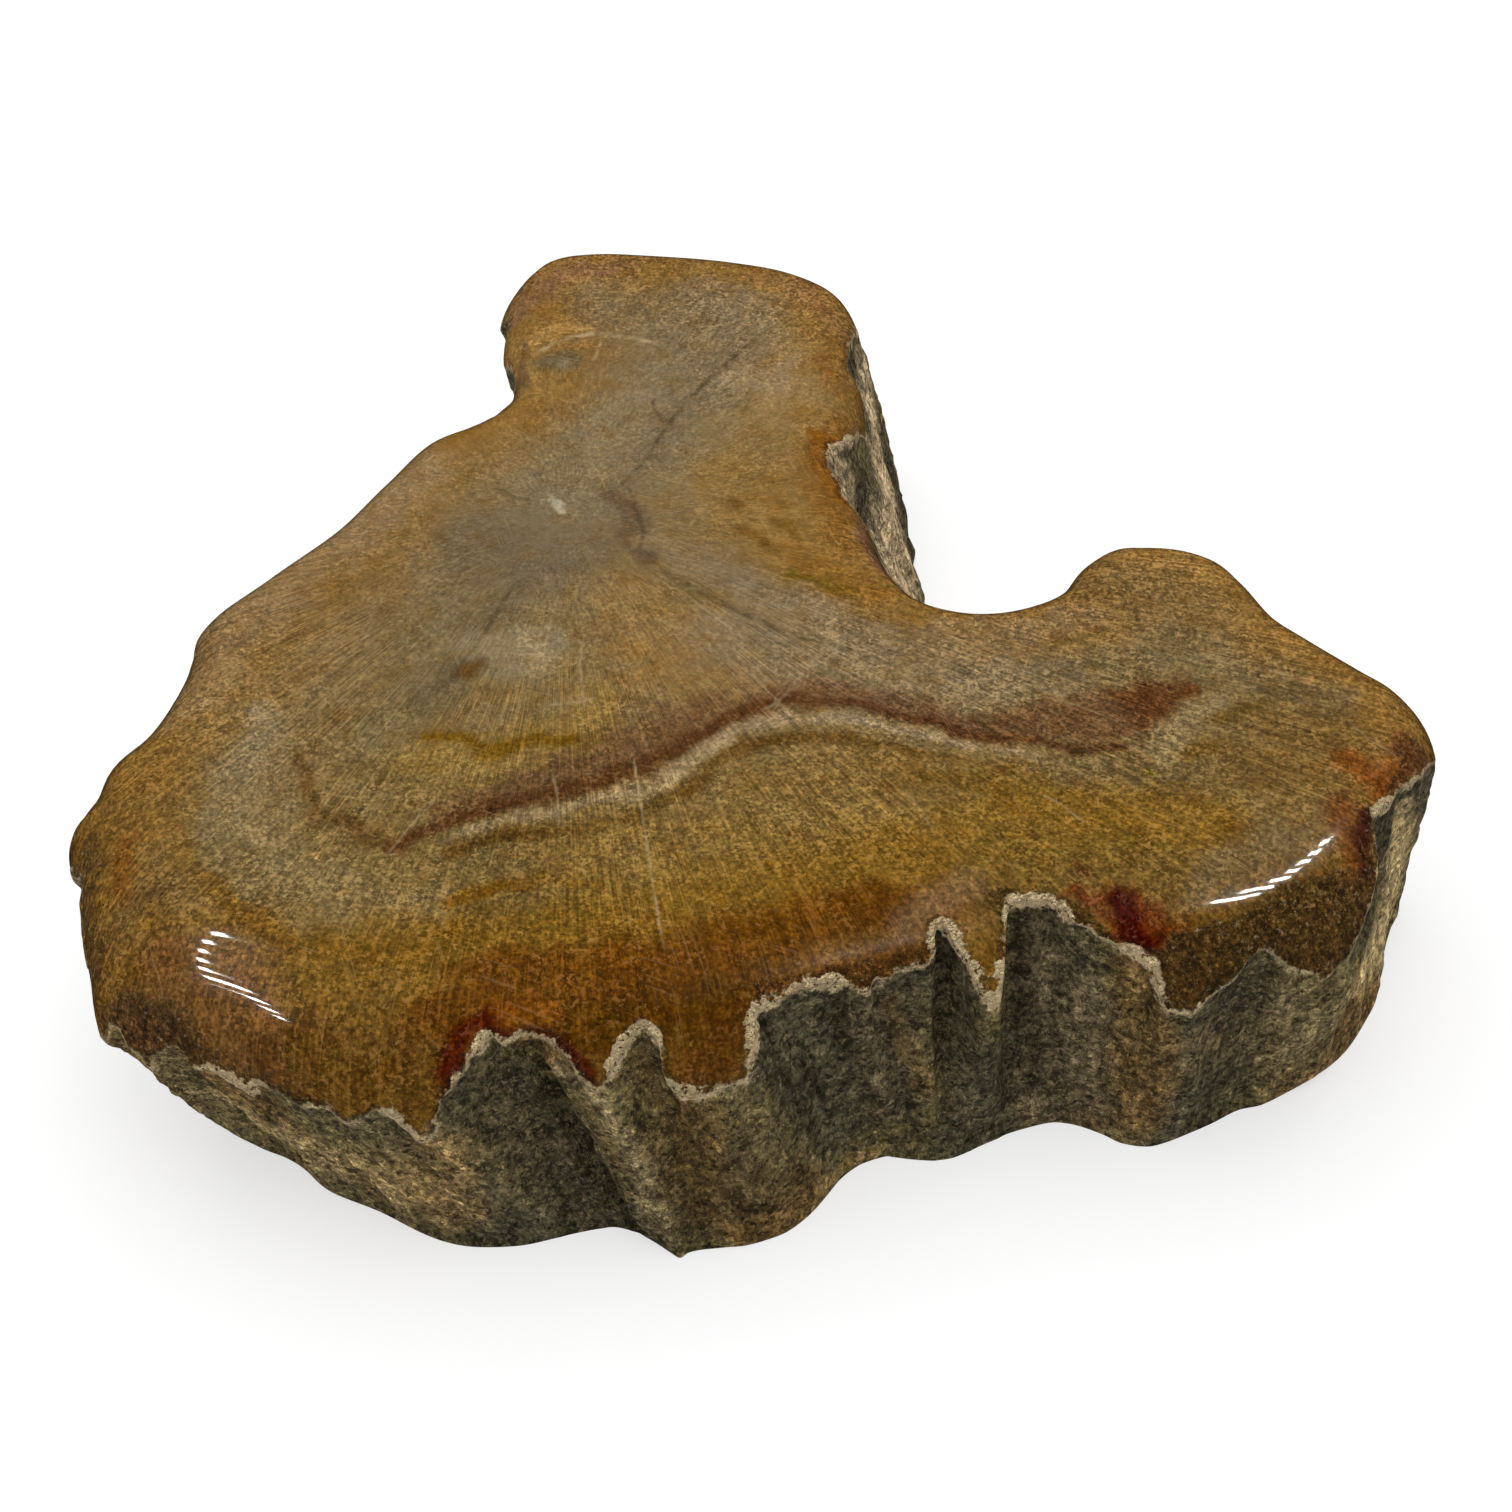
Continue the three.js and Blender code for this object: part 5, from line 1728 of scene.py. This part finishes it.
    def fill(self, ring: Array, spacing: float | None) -> tuple[Array, Array]:
        """Triangles that fill a flat ring.

        Args:
            ring: (n, 2) points of the ring.
            spacing: distance between the points of a lattice laid inside it, or None for no lattice.

        Returns:
            The lattice's points, and triangles numbered with the ring's points first.
        """
        extra = np.zeros((0, 2))
        if spacing:
            low, high = ring.min(axis=0), ring.max(axis=0)
            xs = np.arange(low[0], high[0], spacing)
            ys = np.arange(low[1], high[1], spacing * math.sqrt(0.75))
            grid = np.dstack(np.meshgrid(xs, ys))
            grid[1::2, :, 0] += spacing / 2
            extra = grid.reshape(-1, 2)
            extra = extra[inside(extra, ring)]
            extra = extra[nearest(extra, ring)[1] > spacing * self.lattice_gap]
        points = np.vstack([ring, extra])
        number = np.arange(len(ring))
        edges = np.column_stack([number, np.roll(number, -1)]).tolist()
        found = delaunay_2d_cdt([Vector(p) for p in points.tolist()], edges, [], INSIDE_ONLY, MERGE_WITHIN)
        assert len(found[0]) == len(points), "the filling added points of its own"
        return extra, np.array(found[2])

    def build(self) -> bpy.types.Object:
        """Works out the skin and makes it a mesh.

        Returns:
            The slab's object, with the attributes that its materials read.
        """
        points = np.array(POLISHED_OUTLINE)
        self.outline = closed_curve(points, len(points) * self.outline_steps)
        side = self.side_rings()
        rings = np.concatenate([side, self.shoulder_rings(side[-1, :, :2])])
        rows, around = rings.shape[:2]
        number = np.arange(rows * around).reshape(rows, around)
        beside = np.roll(number, -1, axis=1)
        quads = np.dstack([number[:-1], beside[:-1], beside[1:], number[1:]]).reshape(-1, 4)
        lattice, top = self.fill(rings[-1, :, :2], self.lattice)
        _, bottom = self.fill(rings[0, :, :2], None)
        top_points = np.column_stack([lattice, self.thickness + self.swelling(lattice)])
        skin = np.vstack([rings.reshape(-1, 3), top_points])
        top_faces = np.concatenate([number[-1], np.arange(len(lattice)) + rows * around])[top]
        bottom_faces = number[0][bottom[:, ::-1]]
        faces = [*quads.tolist(), *top_faces.tolist(), *bottom_faces.tolist()]
        self.dress(skin, side.shape[0] * around)
        mesh = bpy.data.meshes.new(PIECE)
        mesh.from_pydata(self.centred(skin) * MM, [], faces)
        mesh.polygons.foreach_set("use_smooth", np.ones(len(faces), dtype=bool))
        slots = np.full(len(faces), Surface.NATURAL_AND_POLISHED.value)
        slots[-len(bottom_faces):] = Surface.SAWN_UNDERSIDE.value
        mesh.polygons.foreach_set("material_index", slots)
        self.store(mesh)
        self.sharpen(mesh, (number[0], number[len(side) - 1]))
        mesh.update()
        piece = bpy.data.objects.new(PIECE, mesh)
        bpy.context.scene.collection.objects.link(piece)
        return piece

    def sharpen(self, mesh: bpy.types.Mesh, rings: tuple[Array, ...]) -> None:
        """Marks the edges of whole rings as sharp.

        Args:
            mesh: the skin.
            rings: the rings' point numbers.
        """
        ends = np.zeros(len(mesh.edges) * 2, dtype=int)
        mesh.edges.foreach_get("vertices", ends)
        ends = ends.reshape(-1, 2)
        sharp = np.zeros(len(mesh.edges), dtype=bool)
        for ring in rings:
            sharp |= np.isin(ends, ring).all(axis=1)
        mesh.attributes.new("sharp_edge", "BOOLEAN", "EDGE").data.foreach_set("value", sharp)

    def dress(self, skin: Array, side_count: int) -> None:
        """Works out the stains and line fields for every point of the skin.

        Args:
            skin: (n, 3) points, those of the rough side first.
            side_count: number of points of the rough side.
        """
        centred = self.centred(skin)
        is_side = np.arange(len(skin)) < side_count
        _, away = nearest(skin, self.rim_line)
        self.below_rim = np.where(is_side, away, -away)
        self.grain_places = np.where(is_side[:, None], np.resize(self.grain, skin.shape), skin)
        self.stain = np.empty((len(skin), 3))
        self.stain[is_side] = self.wall_colour(centred[is_side], self.grain_places[is_side])
        self.stain[~is_side] = self.face_colour(centred[~is_side], skin[~is_side, :2])
        self.cracks, self.scratches = (LineField().of(lines, centred[:, :2]) for lines in (CRACKS, SCRATCHES))
        for lines in (self.cracks, self.scratches):
            lines[is_side, 1] = 0.0
        ragged = self.warped(centred, *self.patch_warp)[:, :2]
        patches = [stain.strength * line_weight(stain.path, stain.soft, ragged) for stain in DULL_PATCHES]
        self.dull = np.max(patches, axis=0)
        clumps = [line_weight(path, self.crust_softness, ragged) for path in CRUSTS.values()]
        self.crust = np.max(clumps, axis=0) * self.crust_strength

    def warped(self, places: Array, coarse: float, fine: float) -> Array:
        """Places moved about by noise, which gives the stains drawn over them ragged edges.

        Args:
            places: (n, 3) places.
            coarse: strength of the broad noise.
            fine: strength of the narrow noise.

        Returns:
            (n, 3) moved places.
        """
        broad, narrow = self.warp_sizes
        pushes = []
        for axis in range(places.shape[1]):
            shift = self.warp_shift * (axis + 1)
            push = self.noise.layered(places + shift, broad, 2) * coarse
            pushes.append(push + self.noise.layered(places - shift, narrow, 3) * fine)
        return places + np.column_stack(pushes)

    def face_colour(self, centred: Array, drawn: Array) -> Array:
        """Stain of the polished face: gold near the outline, then the face's own stains in order, then a tint
        with a painted shade that darkens the front and a painted light that brightens the back.

        Args:
            centred: (n, 3) points, measured from the middle of the box.
            drawn: (n, 2) places of the same points, measured as the outline is.

        Returns:
            (n, 3) light values.
        """
        _, depth = nearest(drawn, self.outline[:, :2])
        cloud = self.noise.layered(centred, self.cloud_size, 3)
        gold = (1.0 - eased(depth + self.gold_bend * cloud, *self.gold_depth))[:, None] * self.gold_share
        colour = self.base_face.light() * (1 - gold) + self.edge_gold.light() * gold
        ragged, gentle = (self.warped(centred, *amounts)[:, :2] for amounts in self.face_warps)
        colour = stained(colour, FACE_STAINS + DULL_PATCHES, ragged, gentle)
        # A tint with painted shade at the front and painted light at the back
        back = eased(centred[:, 1], *self.front_to_back)[:, None]
        wash = np.array(self.front_tint_and_painted_shade) * (1 - back) + np.array(self.back_tint_and_painted_light) * back
        return colour * wash * (1.0 + self.cloud_tone * cloud)[:, None]

    def wall_colour(self, centred: Array, grain: Array) -> Array:
        """Stain of the rough side: grey, olive and brown by turns, then the side's own stains.

        At the front, where the light comes from behind, hollows are painted darker and ridges painted
        lighter: painted shade and painted light.

        Args:
            centred: (n, 3) points, measured from the middle of the box.
            grain: (n, 3) places on the grain of the same points.

        Returns:
            (n, 3) light values.
        """
        size, stretch = self.wall_cloud
        cloud = self.noise.layered(grain * (1.0, 1.0, stretch), size, 3)
        grey, olive, brown = (tint.light() for tint in self.wall_tints)
        to_olive = eased(cloud, *self.olive_from)[:, None]
        to_brown = eased(cloud, *self.brown_from)[:, None]
        colour = grey * (1 - to_olive) + olive * to_olive
        colour = colour * (1 - to_brown) + brown * to_brown
        ragged, gentle = (self.warped(centred, *amounts) for amounts in self.wall_warps)
        # Painted shade in the hollows and painted light on the ridges, at the front only
        in_front = 1.0 - eased(centred[:, 1], *self.hollows_end)
        shade = 2.0 ** (-self.hollow_shade * in_front * np.clip(self.hollow, *self.hollow_range))[:, None]
        return stained(colour, WALL_STAINS, ragged, gentle) * self.wall_warmth * shade

    def store(self, mesh: bpy.types.Mesh) -> None:
        """Writes the stains and fields to the mesh as attributes."""
        # The stain colours hold real stains together with painted shade, painted light and painted sheen
        opaque = np.column_stack([self.stain, np.ones(len(self.stain))])
        mesh.attributes.new("stain", "FLOAT_COLOR", "POINT").data.foreach_set("color", opaque.ravel())
        numbers = {"below_rim": self.below_rim, "dull": self.dull, "crust": self.crust}
        vectors = {"grain": self.grain_places, "cracks": self.cracks, "scratches": self.scratches}
        for name, values in numbers.items():
            mesh.attributes.new(name, "FLOAT", "POINT").data.foreach_set("value", values)
        for name, values in vectors.items():
            mesh.attributes.new(name, "FLOAT_VECTOR", "POINT").data.foreach_set("vector", values.ravel())

    def finish(self, piece: bpy.types.Object) -> None:
        """Gives the slab its materials and its place in the frame."""
        piece.data.materials.append(RimFinish().skin(PolishedFinish(), NaturalFinish()))
        piece.data.materials.append(SawnFinish().skin())
        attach(piece, "root")
        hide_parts(NODE)


@dataclass(frozen=True)
class StripRow:
    """A row of thin bright strips overhead: middle of the first one, way from one to the next, their
    number, and each one's length along x and width along y, in metres."""

    name: str
    first: Pair
    step: Pair
    count: int
    size: Pair


@dataclass
class Studio:
    """Pale floor, soft light and the camera. Sizes of the studio are in metres, and the camera's
    distance and what it looks at in millimetres."""

    floor_size: float = 6.0
    floor_drop: float = 0.00005
    floor_tone: float = 0.42
    floor_glow: float = 0.62
    floor_roughness: float = 0.9
    sky_strength: float = 0.3
    key_size: float = 1.5
    key_place: Triple = (-0.15, 0.2, 1.2)
    key_power: float = 17.0
    strip_height: float = 1.5
    strip_light: tuple[float, float, float, float] = (1.0, 0.98, 0.95, 1.0)
    strip_strength: float = 60.0
    strips: tuple[StripRow, ...] = (
        StripRow("right_strips", (0.64, -0.36), (0.06, 0.155), 7, (0.13, 0.07)),
        StripRow("left_strips", (-0.6, 0.38), (-0.12, -0.27), 9, (0.08, 0.09)),
    )
    camera_pitch: float = 45.0
    camera_distance: float = 343.0
    look_at: Triple = (-1.5, 4.65, 0.0)
    focal_length: float = 57.143
    sensor_width: float = 36.0
    clip_start: float = 0.01

    def panels(self, name: str, points: Array, skin: bpy.types.Material) -> bpy.types.Object:
        """Makes flat four-cornered panels.

        Args:
            name: the name of the object.
            points: (4 n, 3) corners, panel by panel.
            skin: the material.

        Returns:
            The object.
        """
        mesh = bpy.data.meshes.new(name)
        mesh.from_pydata(points, [], np.arange(len(points)).reshape(-1, 4).tolist())
        mesh.materials.append(skin)
        panels = bpy.data.objects.new(name, mesh)
        bpy.context.scene.collection.objects.link(panels)
        return panels

    def floor(self) -> None:
        """A wide pale floor under the slab, kept out of the reflections."""
        graph = Graph("floor")
        shader = graph.node("ShaderNodeBsdfPrincipled", None, {
            "Base Color": (self.floor_tone,) * 3 + (1.0,),
            "Roughness": self.floor_roughness,
            "Specular IOR Level": 0.0,
            "Emission Color": WHITE,
            "Emission Strength": self.floor_glow,
        })
        points = np.column_stack([CORNERS * self.floor_size / 2, np.full(4, -self.floor_drop)])
        floor = self.panels("floor", points, graph.surface(shader))
        floor.visible_glossy = False

    def light(self) -> None:
        """An even sky and one large soft lamp overhead, both kept out of the reflections."""
        world = bpy.data.worlds.new("sky")
        world.use_nodes = True
        back = world.node_tree.nodes["Background"]
        back.inputs["Color"].default_value = WHITE
        back.inputs["Strength"].default_value = self.sky_strength
        world.cycles_visibility.glossy = False
        bpy.context.scene.world = world
        lamp = bpy.data.lights.new("key", "AREA")
        lamp.shape = "SQUARE"
        lamp.size = self.key_size
        lamp.energy = self.key_power
        key = bpy.data.objects.new("key", lamp)
        key.location = self.key_place
        key.visible_glossy = False
        bpy.context.scene.collection.objects.link(key)

    def louvre(self, strips: StripRow) -> None:
        """Makes a row of strips overhead, which only shows as dashes in the polish.

        Args:
            strips: the row's places and sizes.
        """
        middle = np.array(strips.first) + np.arange(strips.count)[:, None] * strips.step
        corners = (middle[:, None, :] + CORNERS * 0.5 * strips.size).reshape(-1, 2)
        points = np.column_stack([corners, np.full(len(corners), self.strip_height)])
        graph = Graph(strips.name)
        inputs = {"Color": self.strip_light, "Strength": self.strip_strength}
        skin = graph.surface(graph.node("ShaderNodeEmission", None, inputs))
        row = self.panels(strips.name, points, skin)
        row.visible_diffuse = False
        row.visible_shadow = False
        row.visible_camera = False

    def camera(self) -> None:
        """The camera, at the photo's pitch and distance."""
        lens = bpy.data.cameras.new("camera")
        lens.lens = self.focal_length
        lens.sensor_width = self.sensor_width
        lens.clip_start = self.clip_start
        eye = bpy.data.objects.new("camera", lens)
        pitch = math.radians(self.camera_pitch)
        back = Vector((0.0, -math.cos(pitch), math.sin(pitch))) * self.camera_distance
        eye.location = (Vector(self.look_at) + back) * MM
        eye.rotation_euler = (math.pi / 2 - pitch, 0.0, 0.0)
        bpy.context.scene.collection.objects.link(eye)
        bpy.context.scene.camera = eye

    def build(self) -> None:
        """Sets up the camera, the light, the floor and the strips."""
        bpy.context.scene.view_settings.view_transform = "Standard"
        self.camera()
        self.light()
        self.floor()
        for strips in self.strips:
            self.louvre(strips)


def report(piece: bpy.types.Object) -> None:
    """Logs the size of a finished piece."""
    mesh = piece.data
    mesh.calc_loop_triangles()
    log.info("%s: %d faces, %d triangles", piece.name, len(mesh.polygons), len(mesh.loop_triangles))


def main() -> None:
    """Builds the studio and the slab."""
    Studio().build()
    slab = StoneSlice()
    piece = slab.build()
    slab.finish(piece)
    report(piece)


if __name__ == "__main__":
    main()
